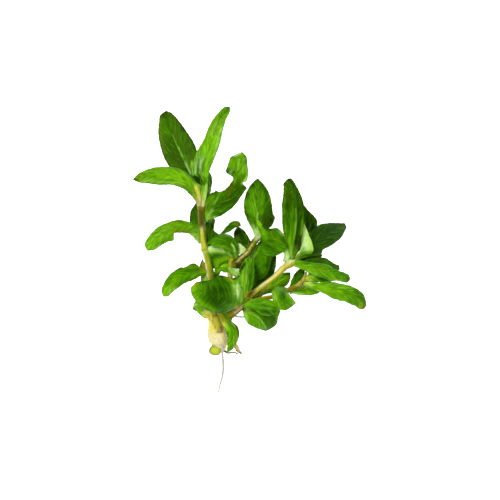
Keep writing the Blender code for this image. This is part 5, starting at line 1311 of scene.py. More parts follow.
# %% The leaves under the right shoot
leaf("lower_leaf_front", "leaf_bright", [
    (-1.5, -21.6, 12.6), (3.2, -21.2, 14), (8, -22, 14.4), (12.4, -23.5, 13.4)], [
    (0, 0.8, 1.6), (0.18, 1.8, 2.2), (0.45, 2, 4.6), (0.7, 2, 4.4), (0.9, 1.2, 2.2), (1, 0, 0)],
    rise=(0.1, -0.1), body=("leaf", "leaf"), rib=0.15, marks=[
    ("deep", 0.48, -0.7, 0.85, -0.8, 1.2, 0.8), ("bright", 0.5, 0.4, 0.72, 0.2, 0.7, 0.6),
    ("grey", 0.45, -0.35, 0.7, -0.35, 0.35, 0.5), ("rust", 0.1, 0.9, 0.22, 0.9, 0.5, 0.6),
    ("moss", 0.4, -0.1, 0.75, -0.1, 0.35, 0.4), ("moss", 0.3, 0.7, 0.5, 0.75, 0.35, 0.5),
    ("mid", 0.14, 0.2, 0.32, 0.3, 1, 0.6), ("bright", 0.72, 0.8, 0.8, 0.7, 0.6, 0.7),
    ("leaf", 0.4, -0.85, 0.5, -0.9, 0.6, 0.5), ("bright", 0, 0, 0.06, 0, 0.8, 0.8)])
# The ink and dark marks on its left half are a painted shadow of the leaf in front, and the pale, lime and
# bright marks near its foot are painted light where that leaf and the stem would shade it.
leaf("lower_leaf_large", "leaf_mid", [
    (-1.8, -23.3, 8.4), (0.2, -25, 9.2), (3.2, -27.2, 8.6), (5.8, -30.7, 5.8), (6.4, -32.5, 3.6)], [
    (0, 1.6, 1.6), (0.2, 3, 3.4), (0.4, 6.6, 4.3), (0.6, 9.1, 3.9), (0.7, 8.9, 3.5), (0.8, 6.7, 2.9),
    (0.92, 4.6, 1.6), (1, 0, 0)], rise=(0.0, 0.1), body=("leaf", "fresh"), marks=[
    ("ink", 0.5, 0.5, 0.82, 0.6, 1.5, 0.7), ("dark", 0.42, 0.3, 0.88, 0.25, 1.2, 0.75),
    ("vein", 0.2, 0.02, 0.88, 0.02, 0.45, 0.85), ("mid", 0.25, -0.15, 0.8, -0.15, 0.35, 0.5),
    ("mid", 0.3, -0.65, 0.7, -0.7, 0.35, 0.5), ("leaf", 0.82, -0.1, 0.93, -0.3, 0.8, 0.6),
    ("pale", 0.12, -0.93, 0.26, -0.95, 0.5, 0.75), ("leaf", 0.2, -0.35, 0.45, -0.3, 1.1, 0.5),
    ("grey", 0.8, 0.93, 0.9, 0.9, 0.5, 0.6), ("bright", 0, 0.8, 0.22, 0.8, 1, 0.85),
    ("lime", 0, 0.2, 0.12, 0.15, 1.4, 0.9), ("fresh", 0.18, 0.4, 0.28, 0.3, 0.9, 0.6),
    ("pale", 0, 0.25, 0.1, 0.2, 1, 0.8), ("vein", 0.08, -0.85, 0.2, -0.85, 0.9, 0.8),
    ("lime", 0.05, 0.8, 0.16, 0.85, 0.7, 0.7)])
# The pale and pear marks near its foot are painted light, where the stem above would shade it.
leaf("leaf_under_stem", "leaf_mid", [
    (0.6, -21.2, 8.8), (4.8, -16.6, 8.8), (10.4, -13.2, 8.6), (16.1, -9, 8)], [
    (0, 0.7, 0.7), (0.25, 2.6, 1.4), (0.38, 3, 2), (0.55, 3.2, 3.2), (0.8, 2.6, 3.2), (0.93, 1.1, 1.9),
    (1, 0, 0)], body=("bright", "bright"), rib=0.05, marks=[
    ("deep", 0.88, 0.4, 0.97, -0.3, 0.8, 0.8), ("ochre", 0.6, -0.9, 0.72, -0.9, 0.5, 0.5),
    ("lime", 0.62, 0, 0.84, -0.3, 1.2, 0.6), ("moss", 0.7, 0.3, 0.84, 0.2, 0.35, 0.5),
    ("pear", 0.2, 0.1, 0.46, 0.2, 1.3, 0.8), ("leaf", 0.7, -0.3, 0.82, -0.4, 0.8, 0.5),
    ("pale", 0.18, -0.3, 0.36, -0.35, 0.9, 0.8), ("pear", 0.2, 0.15, 0.4, 0.3, 0.9, 0.6),
    ("fresh", 0.72, -0.5, 0.86, -0.55, 0.6, 0.7), ("bright", 0.74, -0.5, 0.85, -0.6, 0.6, 0.6)])
count_made()

# %% [markdown]
# The middle shoot holds an oval leaf upright, seen full from its upper side, with a pale midrib and a brown
# spur where its edge was hurt. One more leaf crosses the shoot, and one hangs down.

# %% The middle shoot's leaves
# The ink marks near its foot on the right are a painted shadow of the crossing leaf, and the milk marks at
# its foot are painted light where that leaf would shade it.
leaf("oval_leaf", "leaf_mid", [
    (3.9, 4.7, 15.8), (3, 8, 16.3), (2.9, 12, 15.8), (3, 18, 14.8), (3.15, 24, 13.2), (3.2, 28.7, 11.4)], [
    (0, 0.7, 0.6), (0.05, 1.7, 1.6), (0.12, 1.8, 4), (0.18, 2.4, 5.4), (0.28, 3.7, 6.6), (0.36, 4.5, 7.1),
    (0.41, 5.1, 6.3), (0.56, 5.5, 5.8), (0.72, 4.9, 4.9), (0.86, 3.4, 3.1), (0.96, 1.4, 1), (1, 0, 0)],
    rise=(-0.05, 0.1), body=("mid", "moss"), rib=0.4, marks=[
    ("dark", 0.18, 0.5, 0.34, 0.65, 1.5, 0.7), ("fresh", 0.4, 0.2, 0.6, 0.35, 0.7, 0.6),
    ("ink", 0.18, -0.45, 0.36, -0.5, 1.8, 0.97), ("deep", 0.4, -0.88, 0.9, -0.75, 0.8, 0.75),
    ("leaf", 0.44, -0.25, 0.75, -0.3, 1.2, 0.6), ("dark", 0.83, 0.6, 0.96, -0.5, 1.3, 0.7),
    ("vein", 0.45, 0.05, 0.58, 0.22, 0.3, 0.5), ("pale", 0.22, 0, 0.42, 0, 0.35, 0.7),
    ("deep", 0.35, 0.97, 0.8, 0.98, 0.4, 0.6), ("milk", 0.1, 0.95, 0.2, 0.95, 0.45, 0.8),
    ("leaf", 0.5, 0.5, 0.78, 0.45, 1.6, 0.6), ("dark", 0.32, 0.85, 0.5, 0.9, 1, 0.6),
    ("dark", 0.68, 0.15, 0.82, -0.05, 1.1, 0.5), ("fresh", 0.7, 0.85, 0.84, 0.75, 0.6, 0.5),
    ("pale", 0, 0, 0.15, 0.1, 2, 0.85), ("dark", 0.4, 0.7, 0.5, 0.75, 0.9, 0.5),
    ("milk", 0, 0.6, 0.1, 0.7, 1, 0.8), ("pale", 0, -0.3, 0.1, -0.2, 1, 0.85),
    ("moss", 0.2, 0.3, 0.28, 0.2, 0.7, 0.85), ("leaf", 0.6, 0.88, 0.85, 0.85, 0.7, 0.7),
    ("ink", 0.2, -0.45, 0.31, -0.8, 1.5, 1), ("brown", 0.3, -1, 0.38, -1, 0.35, 0.8),
    ("pale", 0.08, 0.1, 0.12, 0.1, 0.6, 0.9), ("milk", 0.07, 0.15, 0.11, 0.15, 0.6, 0.9),
    ("pale", 0.13, 0.5, 0.22, 0.5, 0.4, 0.5)])
# The ink mark near its tip on the right is painted shade.
leaf("crossing_leaf", "leaf_mid", [
    (14.6, -3.9, 16.9), (15, 0, 18.5), (12.3, 2.6, 19.9), (8.6, 5.6, 20.6), (4.8, 9.3, 19.9),
    (2, 13, 18.6)], [
    (0, 1.2, 1.3), (0.12, 1.6, 1.5), (0.2, 2.8, 2.2), (0.32, 6, 3.6), (0.43, 7.8, 3.8), (0.52, 7.9, 4),
    (0.58, 6, 3.9), (0.66, 3.2, 1.9), (0.8, 1.6, 0.8), (0.92, 0.9, 0.5), (1, 0, 0)], rise=(0.0, -0.3),
    curl=-0.2, body=("mid", "mid"), rib=0.05, marks=[
    ("milk", 0, 0, 0.09, 0, 1.4, 0.95), ("pale", 0.1, 0.3, 0.16, 0.1, 0.8, 0.7),
    ("dark", 0.3, 0.75, 0.6, 0.85, 0.9, 0.7), ("deep", 0.42, 0.5, 0.6, 0.55, 0.5, 0.6),
    ("fresh", 0.22, 0.5, 0.45, 0.3, 0.4, 0.6), ("fresh", 0.28, -0.2, 0.48, -0.05, 0.4, 0.6),
    ("dark", 0.2, -0.4, 0.38, -0.5, 0.5, 0.7), ("fresh", 0.6, 0.4, 0.72, 0.5, 1, 0.8),
    ("lime", 0.75, 0.2, 0.97, 0.1, 0.8, 0.85), ("ink", 0.66, -0.9, 0.84, -0.85, 1, 0.95),
    ("deep", 0.72, -0.45, 0.79, -0.35, 0.5, 0.75), ("moss", 0.93, 0.85, 0.99, 0.6, 0.7, 0.8),
    ("lime", 0.84, -0.25, 0.9, -0.3, 0.6, 0.85), ("fresh", 0.2, -0.8, 0.34, -0.85, 0.7, 0.85),
    ("pale", 0.41, -0.85, 0.49, -0.88, 0.5, 0.85), ("deep", 0.4, 0.3, 0.5, 0.2, 0.7, 0.5),
    ("olive", 0.45, -0.05, 0.58, -0.2, 0.9, 0.4), ("milk", 0.42, -0.96, 0.5, -0.96, 0.35, 0.7),
    ("bright", 0.19, -0.85, 0.3, -0.88, 0.6, 0.9), ("mid", 0.17, 0.85, 0.26, 0.88, 0.4, 0.5)])
# The lime and pale marks along its right edge are painted light, where the crossing leaf would shade it.
leaf("hanging_leaf_middle", "leaf_mid", [
    (6, 4.2, 14), (6.1, 0.5, 14.8), (5.6, -4.4, 14.6), (4.6, -9, 13.6), (3.8, -12, 12.6)], [
    (0, 0.7, 1.6), (0.12, 2.2, 3.4), (0.24, 2.6, 5.2), (0.36, 3, 6.5), (0.47, 2.9, 6.3), (0.62, 2.8, 4.8),
    (0.82, 2.4, 3.4), (0.94, 1.3, 1.8), (1, 0, 0)], rise=(0.1, -0.5), body=("mid", "moss"), rib=0.1, marks=[
    ("fresh", 0.3, 0, 0.42, 0.3, 0.9, 0.8), ("leaf", 0.2, -0.25, 0.4, -0.3, 0.6, 0.7),
    ("deep", 0.5, 0.6, 0.95, 0.6, 1.4, 0.8), ("leaf", 0.5, -0.25, 0.72, -0.3, 1.2, 0.7),
    ("deep", 0.8, 0, 1, -0.4, 1.4, 0.6), ("ink", 0.45, -0.6, 0.62, -0.5, 0.4, 0.6),
    ("lime", 0.18, -0.7, 0.42, -0.9, 1.4, 1), ("vein", 0.42, -0.85, 0.5, -0.8, 0.6, 0.8),
    ("deep", 0, -0.9, 0.08, -0.9, 0.8, 0.8), ("leaf", 0.7, 0.3, 0.78, 0.2, 0.7, 0.7),
    ("mid", 0.4, 0.85, 0.48, 0.8, 0.6, 0.7), ("lime", 0.34, -0.62, 0.45, -0.72, 0.9, 0.9),
    ("pale", 0.36, -0.84, 0.46, -0.8, 0.8, 0.75), ("leaf", 0.56, -0.5, 0.66, -0.55, 0.7, 0.8),
    ("pale", 0.27, -0.84, 0.36, -0.84, 0.8, 0.75)])
count_made()

# %% [markdown]
# Small leaves surround the withered stump: a dark one, a pale one that shows its underside, one that arches
# away from it, and a short pale one.

# %% The leaves round the stump
leaf("side_leaf_dark", "leaf_dark", [
    (-0.3, 0.8, 12.2), (-2.2, 4, 11.4), (-4.8, 9.4, 10.2)], [
    (0, 0.7, 0.7), (0.22, 2.8, 2), (0.45, 3.8, 2), (0.7, 3.2, 1.7), (0.9, 1.9, 0.8), (1, 0, 0)],
    body=("deep", "deep"), marks=[
    ("ink", 0.3, 0.3, 0.8, 0.4, 1.3, 0.8), ("dark", 0.3, -0.5, 0.6, -0.4, 0.8, 0.6),
    ("ink", 0.6, -0.4, 0.78, -0.5, 0.8, 0.7), ("mid", 0.34, 0.9, 0.5, 0.95, 0.7, 0.7),
    ("deep", 0.05, -0.8, 0.8, -0.8, 0.6, 0.8), ("grey", 0.8, -0.7, 0.87, -0.7, 0.35, 0.6)])
# Its milk body and milk mark are partly its pale underside and partly painted light, where the arching leaf
# would shade it.
leaf("side_leaf_pale", "leaf_pale", [
    (-1.4, -0.4, 14.2), (-3, 0.6, 15.4), (-4.6, 2.8, 15.2)], [
    (0, 0.9, 0.7), (0.4, 2.6, 1), (0.75, 2.4, 0.8), (1, 0, 0)], body=("milk", "milk"), under="dark", marks=[
    ("pale", 0, 0, 0.2, 0, 0.7, 0.5), ("milk", 0.3, 0.2, 0.8, 0.2, 1.4, 1)])
leaf("arching_leaf", "leaf_mid", [
    (-5.5, -2.7, 15.4), (-5.9, 0.4, 17.2), (-8.4, 3, 18.2), (-12.6, 3.6, 17.6), (-16.4, 2.4, 16.4)], [
    (0, 0.8, 0.8), (0.15, 2.4, 1.3), (0.35, 3.8, 2.2), (0.55, 3.4, 3), (0.65, 2.9, 2.9), (0.75, 2.8, 2.6),
    (0.9, 1.8, 1.4), (1, 0, 0)], rise=(-0.2, -0.2), curl=-0.2, body=("mid", "mid"), slant=5.0, marks=[
    ("pale", 0.16, 0.15, 0.36, 0, 0.4, 0.85), ("deep", 0.1, -0.45, 0.34, -0.5, 0.5, 0.8),
    ("ink", 0.42, 0.35, 0.72, 0.55, 1.1, 0.8), ("grey", 0.5, -0.9, 0.68, -0.9, 0.6, 0.7),
    ("ink", 0.12, 0.7, 0.3, 0.6, 0.4, 0.7), ("leaf", 0.78, 0.2, 0.95, 0, 1.2, 0.6),
    ("pale", 0.12, -0.85, 0.3, -0.85, 0.35, 0.5), ("dark", 0.5, -0.4, 0.8, -0.4, 1.2, 0.6),
    ("deep", 0.2, -0.75, 0.3, -0.8, 0.5, 0.7), ("fresh", 0.22, 0.85, 0.9, 0.85, 0.9, 0.75),
    ("bright", 0.6, 0.92, 0.72, 0.9, 0.5, 0.6), ("dark", 0.62, -0.75, 0.78, -0.75, 0.6, 0.6),
    ("moss", 0.28, 0.3, 0.42, 0.25, 0.5, 0.6), ("fresh", 0, -0.7, 0.12, -0.8, 0.6, 0.7),
    ("leaf", 0.26, -0.8, 0.4, -0.8, 0.5, 0.6)])
leaf("stub_leaf_pale", "leaf_pale", [
    (-7.6, -7.6, 14.2), (-5.6, -8.9, 15), (-3.6, -10.9, 15)], [
    (0, 0.6, 0.9), (0.35, 1.3, 1.8), (0.7, 1.6, 1.7), (0.92, 1, 0.8), (1, 0, 0)], body=("milk", "pale"),
    marks=[
    ("sage", 0.3, -0.7, 0.6, -0.8, 0.4, 0.6), ("brown", 0.5, -0.95, 0.95, -0.6, 0.35, 0.7),
    ("bright", 0.6, 0.3, 0.8, 0.3, 0.5, 0.6), ("fresh", 0, 0.5, 0.2, 0.2, 0.5, 0.6),
    ("grey", 0.2, 0, 0.9, 0, 1.2, 0.45), ("dark", 0.78, -0.4, 0.88, -0.45, 0.45, 0.7)])
count_made()

# %% [markdown]
# The right shoot ends in a fan of dark old leaves. A spear-shaped one stands in front with a bright midrib,
# and one young leaf has turned over, so its pale underside faces the viewer.

# %% The right shoot's leaves
leaf("spear_leaf", "leaf_dark", [
    (17, -2.7, 18.2), (16.9, 0.5, 19.8), (17.9, 6.1, 21.3), (18.6, 12.1, 21.8), (18.6, 17.1, 21.6),
    (17.6, 23.7, 20.4), (15.1, 28.6, 18.6)], [
    (0, 0.9, 0.9), (0.1, 1.5, 2.4), (0.2, 2.6, 3), (0.28, 4.6, 3), (0.46, 5.8, 2.9), (0.63, 5.9, 3),
    (0.83, 4.6, 1.8), (0.93, 3.4, 1.4), (0.975, 2.8, 1.2), (1, 0, 0)], rise=(0.1, 0.5), body=("moss", "deep"),
    rib=0.35, tip="bark", slant=6.0, marks=[
    ("olive", 0, -0.5, 0.15, -0.4, 0.8, 0.6), ("fresh", 0.08, 0.5, 0.3, 0.45, 1.2, 0.85),
    ("leaf", 0.3, 0.35, 0.6, 0.28, 0.9, 0.8), ("dark", 0.25, 0.6, 0.6, 0.6, 0.35, 0.7),
    ("leaf", 0.3, 0.85, 0.58, 0.85, 0.5, 0.7), ("deep", 0.64, 0.55, 0.95, 0.4, 1.9, 0.85),
    ("ink", 0.2, -0.5, 0.5, -0.6, 1, 0.8), ("vein", 0.12, -0.1, 0.6, 0.08, 0.35, 0.7),
    ("bark", 0.95, 0.3, 1, -0.3, 0.8, 0.6), ("deep", 0.78, 0.75, 0.98, 0.7, 1.2, 0.95),
    ("moss", 0, 0, 0.06, 0, 0.9, 0.7), ("dark", 0.45, 0.15, 0.78, 0.1, 1, 0.6),
    ("ink", 0.05, -0.4, 0.3, -0.35, 0.8, 0.6), ("leaf", 0.3, -0.95, 0.46, -0.95, 0.5, 0.9),
    ("mid", 0.6, 0.88, 0.72, 0.85, 0.5, 0.7), ("vein", 0, 0.6, 0.1, 0.55, 1, 0.85),
    ("fresh", 0.1, 0.85, 0.22, 0.8, 0.7, 0.8), ("fresh", 0.3, -0.85, 0.44, -0.9, 0.6, 0.8),
    ("leaf", 0.02, -0.1, 0.07, -0.1, 0.5, 0.7), ("leaf", 0.03, -0.9, 0.08, -0.9, 0.4, 0.7),
    ("moss", 0.03, -0.3, 0.1, -0.4, 0.5, 0.6), ("deep", 0.45, 0.75, 0.8, 0.7, 1.2, 0.4),
    ("mid", 0.4, -0.97, 0.5, -0.97, 0.35, 0.6)])
leaf("right_leaf_behind", "leaf_dark", [
    (18.6, -1.2, 12.8), (21.2, 4.8, 10), (22.4, 11.2, 7.4), (20.8, 18.8, 5)], [
    (0, 0.8, 0.8), (0.2, 3, 3), (0.45, 4, 3.9), (0.62, 3.8, 4.6), (0.82, 2.4, 1.8), (1, 0, 0)],
    body=("dark", "deep"), rib=0.1, marks=[
    ("mid", 0.35, -0.5, 0.7, -0.4, 0.5, 0.7), ("ink", 0.4, 0.1, 0.8, 0.1, 0.8, 0.5),
    ("moss", 0.75, -0.3, 0.92, 0.2, 0.7, 0.6), ("mid", 0.55, -0.95, 0.9, -0.95, 0.5, 0.8),
    ("moss", 0.6, 0.2, 0.7, 0.3, 0.6, 0.8), ("grey", 0.78, -0.97, 0.95, -0.95, 0.35, 0.7),
    ("moss", 0.35, -0.3, 0.5, -0.2, 0.8, 0.6), ("moss", 0.6, 0.3, 0.7, 0.3, 0.8, 0.6)])
# Its milk body and marks are partly its pale underside and partly painted light, where the spear leaf would
# shade it.
leaf("right_leaf_pale", "leaf_pale", [
    (17.6, -3.2, 17.6), (19.6, -1.6, 19.2), (20.6, 1.6, 20.4), (20.8, 6, 20.8), (21.2, 11.7, 20.2)], [
    (0, 0.6, 0.6), (0.12, 0.9, 1), (0.2, 1, 1.8), (0.25, 0.5, 4.4), (0.31, 0.3, 5), (0.44, 0.2, 4.3),
    (0.59, 0.5, 3.2), (0.78, 1.1, 1.9), (0.92, 0.3, 0.7), (1, 0, 0)], rise=(0.2, 0.05), body=("milk", "pale"),
    under="dark", marks=[
    ("olive", 0, -0.3, 0.2, -0.5, 0.9, 0.85), ("milk", 0.3, -0.35, 0.75, -0.3, 1.3, 0.9),
    ("fresh", 0.18, -0.9, 0.27, -0.9, 0.7, 0.95), ("milk", 0.34, 0, 0.85, 0, 1, 0.9),
    ("vein", 0.24, -0.4, 0.29, -0.5, 0.5, 0.7), ("olive", 0.12, -0.2, 0.22, -0.45, 0.7, 0.8),
    ("leaf", 0.2, -0.85, 0.27, -0.9, 0.7, 0.85), ("fresh", 0.26, -0.12, 0.33, -0.22, 0.7, 0.85),
    ("moss", 0.2, -0.35, 0.26, -0.45, 0.5, 0.7), ("milk", 0.75, -0.24, 0.78, -0.24, 0.35, 0.6)])
count_made()

# %% [markdown]
# On its right side the fan spreads out flat: a large dark leaf with a lobe showing beside it, a bright one in
# the light, and a shaded one below them.

# %% The right side of the fan
# The lime mark at its foot on the right is painted light, where the pale leaf would shade it.
leaf("right_leaf_dark", "leaf_dark", [
    (19, -3.2, 14.9), (24.4, 1.8, 12.4), (30.8, 6, 7.6), (38.2, 10.7, 0.05)], [
    (0, 0.8, 0.8), (0.15, 3, 2.8), (0.35, 4.6, 5.4), (0.45, 4.9, 4.2), (0.6, 5.1, 4.5), (0.8, 3.3, 4.1),
    (0.93, 1.2, 2.5), (0.98, 0.5, 1.9), (1, 0, 0)], rise=(0.05, 0.0), body=("dark", "dark"), tip="bark",
    marks=[
    ("deep", 0.4, 0.45, 0.9, 0.4, 2, 0.6), ("ink", 0.42, 0, 0.6, 0.1, 0.7, 0.4),
    ("bark", 0.94, 0.6, 1, -0.6, 1, 0.75), ("deep", 0.4, -0.45, 0.8, -0.5, 1.8, 0.7),
    ("moss", 0.52, -0.9, 0.66, -0.92, 0.6, 0.6), ("leaf", 0.1, 0.85, 0.4, 0.9, 0.7, 0.7),
    ("moss", 0.3, -0.3, 0.4, -0.3, 0.8, 0.5), ("mid", 0.12, -0.9, 0.3, -0.92, 0.7, 0.6),
    ("lime", 0, -0.8, 0.1, -0.85, 0.8, 0.7), ("leaf", 0.08, 0.8, 0.22, 0.85, 0.9, 0.8)])
leaf("right_leaf_lobe", "leaf_dark", [
    (19.4, -3.8, 12.6), (24, -2.5, 11.4), (29, -2.2, 9.2)], [
    (0, 0.7, 0.7), (0.3, 2.4, 2), (0.65, 2.6, 2.2), (0.88, 1.6, 1.4), (1, 0, 0)], body=("moss", "moss"),
    marks=[
    ("mid", 0.3, 0.2, 0.7, 0.2, 0.8, 0.6), ("ink", 0.75, -0.2, 1, 0.2, 0.8, 0.6)])
leaf("right_leaf_bright", "leaf_bright", [
    (16.6, -3.8, 17.2), (21.2, -5.8, 18.4), (25.6, -7.2, 19), (30.4, -8.2, 19.2), (35.2, -9.8, 18.8),
    (39.9, -12.2, 17.4)], [
    (0, 0.8, 0.6), (0.1, 1.2, 2.1), (0.2, 1.4, 2), (0.38, 2.1, 2.7), (0.5, 2.4, 3.1), (0.6, 2.4, 3.2),
    (0.7, 1.6, 3.7), (0.78, 1.6, 2.8), (0.92, 1.9, 1.9), (0.975, 1.2, 1.5), (1, 0, 0)], rise=(-0.2, -0.2),
    curl=-0.3, body=("leaf", "fresh"), rib=0.05, marks=[
    ("moss", 0.12, 0.75, 0.26, 0.65, 0.8, 0.6), ("bright", 0.1, -0.2, 0.34, -0.1, 1.2, 0.5),
    ("dark", 0.61, 0.6, 0.67, 0.2, 0.35, 0.7), ("dark", 0.7, 0.6, 0.76, 0.3, 0.35, 0.6),
    ("mid", 0.7, 0.2, 0.95, 0.2, 1.3, 0.7), ("olive", 0.4, 0.2, 0.58, 0.2, 0.9, 0.5),
    ("mid", 0.3, 0.1, 0.42, 0.2, 0.35, 0.5), ("bark", 0.93, 0.2, 0.97, -0.3, 0.5, 0.75),
    ("leaf", 0, 0.3, 0.12, 0.2, 1.2, 0.8), ("mid", 0.1, 0.3, 0.2, 0.2, 0.9, 0.6),
    ("vein", 0.3, -0.62, 0.44, -0.72, 0.3, 0.45), ("mid", 0.5, -0.85, 0.64, -0.85, 0.7, 0.7),
    ("mid", 0.76, 0.9, 0.88, 0.9, 0.6, 0.7), ("bright", 0.1, -0.6, 0.2, -0.5, 0.8, 0.6),
    ("mid", 0.78, -0.4, 0.9, -0.3, 0.8, 0.6), ("pale", 0.07, -0.93, 0.16, -0.95, 0.4, 0.7),
    ("pale", 0.76, -0.85, 0.88, -0.85, 0.35, 0.5)])
leaf("right_leaf_shaded", "leaf_dark", [
    (19, -5.5, 14.4), (25.6, -5.5, 12.4), (31.2, -6.6, 9.4), (36, -7.9, 5.6)], [
    (0, 0.7, 0.7), (0.3, 2.3, 1.8), (0.6, 3.1, 2), (0.85, 1.8, 1.4), (0.95, 1.6, 0.8), (1, 0, 0)],
    body=("moss", "mid"), rib=0.05, tip="moss", marks=[
    ("leaf", 0.4, -0.2, 0.7, -0.2, 0.7, 0.5), ("leaf", 0.15, 0.85, 0.45, 0.85, 0.7, 0.8),
    ("dark", 0.75, 0.1, 0.95, 0.1, 1, 0.7), ("mid", 0.1, 0.3, 0.5, 0.2, 0.8, 0.7)])
count_made()

# %% [markdown]
# The small shoot, low on the right, has one long bright leaf that droops at its tip and a cupped one that
# bends over the stem like a spoon.

# %% The small shoot's leaves
leaf("cupped_leaf", "leaf_bright", [
    (11.6, -16, 14.4), (12.2, -18.8, 18), (13.8, -21.2, 19.6), (15.4, -23.6, 18.4)], [
    (0, 3.6, 2.2), (0.08, 3.6, 3), (0.4, 3.6, 3.4), (0.7, 3.7, 3.5), (0.9, 3.9, 2.2), (0.97, 3.9, 1.4),
    (1, 0, 0)], rise=(-0.1, 0.1), curl=-0.3, body=("leaf", "fresh"), root=2.2, marks=[
    ("dark", 0.3, 0.35, 0.6, -0.15, 1.4, 0.75), ("ink", 0.42, 0.35, 0.56, -0.1, 0.4, 0.5),
    ("vein", 0.1, -0.55, 0.32, -0.6, 0.45, 0.7), ("brown", 0.92, 0.8, 0.98, -0.8, 0.45, 0.7),
    ("bright", 0.6, -0.6, 0.85, -0.5, 1.1, 0.7), ("pale", 0.38, 0.93, 0.5, 0.95, 0.5, 0.8),
    ("mid", 0.6, -0.25, 0.85, -0.25, 1.1, 0.75), ("pale", 0.1, -0.93, 0.28, -0.95, 0.5, 0.7),
    ("leaf", 0.8, 0.2, 0.92, 0.1, 0.8, 0.6), ("fresh", 0.1, 0.8, 0.35, 0.85, 0.7, 0.7),
    ("bright", 0.4, 0.85, 0.9, 0.8, 0.8, 0.85), ("milk", 0.84, 0.85, 0.92, 0.8, 0.4, 0.5)])
leaf("long_leaf_right", "leaf_bright", [
    (22.2, -13.7, 15), (26, -14.6, 16.6), (32, -15.8, 17.2), (38.4, -17.6, 16.8), (43.2, -20.2, 15.2),
    (45, -23.8, 13.2)], [
    (0, 1.4, 0.8), (0.14, 1.6, 1.2), (0.36, 3.2, 2.6), (0.47, 3.3, 3.4), (0.53, 3.4, 3.3),
    (0.57, 3.5, 3.6), (0.65, 3.8, 3.1), (0.8, 3.6, 3.1), (0.92, 2.4, 2), (0.975, 1.6, 1.4), (1, 0, 0)],
    rise=(-0.2, -0.1), curl=-0.3, body=("fresh", "fresh"), marks=[
    ("pear", 0, 0.6, 0.05, 0.4, 0.9, 0.85), ("pale", 0.03, 0.4, 0.09, 0.3, 0.8, 0.85),
    ("bright", 0.2, 0.15, 0.55, 0.15, 1.5, 0.8), ("mid", 0.62, 0.1, 0.75, 0, 1.3, 0.65),
    ("dark", 0.75, 0.7, 0.92, 0.75, 0.9, 0.8), ("deep", 0.79, 0.35, 0.88, 0.35, 0.4, 0.6),
    ("ochre", 0.9, -0.2, 0.96, -0.1, 0.7, 0.85), ("bark", 0.97, 0.4, 1, -0.2, 0.6, 0.75),
    ("vein", 0.3, 0.55, 0.6, 0.5, 0.35, 0.5), ("moss", 0.36, 0.3, 0.6, 0.28, 0.3, 0.45),
    ("moss", 0.4, -0.3, 0.58, -0.3, 0.35, 0.5), ("leaf", 0.16, 0.8, 0.5, 0.85, 0.7, 0.7),
    ("pale", 0.2, -0.93, 0.38, -0.95, 0.4, 0.7), ("mid", 0.8, 0.1, 0.88, -0.4, 1.1, 0.7),
    ("pale", 0.58, -0.95, 0.68, -0.95, 0.4, 0.7), ("bright", 0.38, -0.4, 0.55, -0.4, 0.9, 0.4),
    ("mid", 0.72, -0.5, 0.88, -0.6, 1, 0.7), ("pear", 0, 0.9, 0.1, 0.9, 0.5, 0.8),
    ("pale", 0, 0.8, 0.08, 0.85, 0.5, 0.7), ("pear", 0, 0.7, 0.03, 0.7, 0.5, 0.5),
    ("pale", 0, 0.8, 0.03, 0.8, 0.35, 0.5)])
count_made()

# %% [markdown]
# Four short leaves fill the gaps round its upper node.

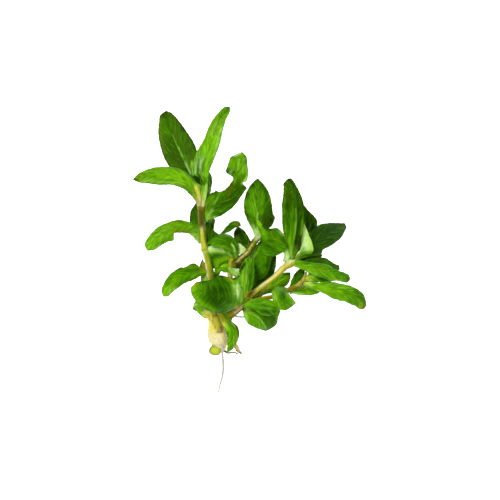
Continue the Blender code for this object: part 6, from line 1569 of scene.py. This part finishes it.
# %% The small shoot's short leaves
leaf("small_leaf_low", "leaf_mid", [
    (16.8, -16.9, 11.2), (20.4, -16.1, 11.4), (24, -16, 11.3), (28.4, -16.7, 10.8)], [
    (0, 0.6, 0.6), (0.25, 1.5, 1.9), (0.6, 1.8, 2.2), (0.85, 1.1, 1.4), (1, 0, 0)], body=("bright", "fresh"),
    marks=[
    ("vein", 0.2, 0.75, 0.85, 0.75, 0.4, 0.8), ("mid", 0.3, 0, 0.7, -0.1, 0.5, 0.6),
    ("milk", 0.02, -0.7, 0.16, -0.9, 0.6, 0.9), ("pale", 0.1, -0.93, 0.4, -0.95, 0.45, 0.75),
    ("bright", 0.55, 0.1, 0.85, 0.1, 0.7, 0.7), ("lime", 0.6, -0.25, 0.9, -0.35, 1, 0.95),
    ("pale", 0, -0.3, 0.1, -0.6, 0.7, 0.8)])
leaf("small_leaf_dark", "leaf_dark", [
    (16.3, -14.8, 10.4), (18.6, -12, 10.6), (21, -7.4, 10)], [
    (0, 0.6, 0.6), (0.3, 1.7, 1.7), (0.6, 2, 1.9), (0.85, 1.4, 1.5), (0.95, 0.8, 1.2), (1, 0, 0)],
    body=("mid", "moss"), rib=0.05, marks=[
    ("leaf", 0.5, 0.3, 0.8, 0.3, 0.7, 0.5), ("leaf", 0.72, 0.1, 0.98, 0.1, 1, 0.9),
    ("fresh", 0.9, 0, 1, 0, 0.9, 0.8), ("brown", 0, 0.7, 0.1, 0.8, 0.6, 0.8),
    ("mid", 0.3, 0, 0.9, 0, 1.2, 0.55), ("leaf", 0.6, 0, 0.9, 0, 0.8, 0.6),
    ("fresh", 0.68, 0.1, 0.9, 0.1, 0.6, 0.7), ("olive", 0, 0.7, 0.06, 0.7, 0.5, 0.6),
    ("fresh", 0.75, 0.05, 0.86, 0.05, 0.5, 0.5)])
leaf("small_leaf_between", "leaf_mid", [
    (22.8, -11.6, 15.3), (26.8, -11.4, 15.4), (32.4, -11.7, 14.6)], [
    (0, 1.2, 0.8), (0.08, 2.2, 1.1), (0.2, 2.5, 1.4), (0.4, 2, 1.5), (0.7, 1.8, 1.4), (0.9, 1, 0.9),
    (1, 0, 0)], body=("leaf", "mid"), marks=[
    ("lime", 0.05, 0.3, 0.28, 0.3, 1, 0.8), ("deep", 0.36, 0, 0.78, 0, 0.9, 0.75),
    ("milk", 0.88, 0, 1, 0, 0.5, 0.7), ("pear", 0, 0.3, 0.3, 0.3, 1.1, 0.7),
    ("pear", 0, -0.6, 0.16, -0.8, 0.8, 0.8), ("leaf", 0.3, 0, 0.36, -0.3, 0.9, 0.6),
    ("leaf", 0.4, -0.6, 0.95, -0.7, 0.8, 0.7), ("straw", 0, -0.8, 0.08, -0.9, 0.7, 0.8),
    ("lime", 0.14, 0.6, 0.3, 0.5, 0.7, 0.7), ("leaf", 0.3, 0.3, 0.4, 0.3, 0.7, 0.7),
    ("lime", 0.1, 0.7, 0.3, 0.6, 0.9, 0.8), ("vein", 0.2, 0.2, 0.3, 0.3, 0.7, 0.7)])
leaf("small_leaf_pale", "leaf_pale", [
    (22.6, -12.7, 13.2), (24, -12.8, 13.6), (25.8, -13.4, 13.4)], [
    (0, 0.5, 0.5), (0.4, 1, 1.1), (0.75, 0.8, 0.8), (1, 0, 0)], body=("pale", "pale"), rib=0.1)
count_made()
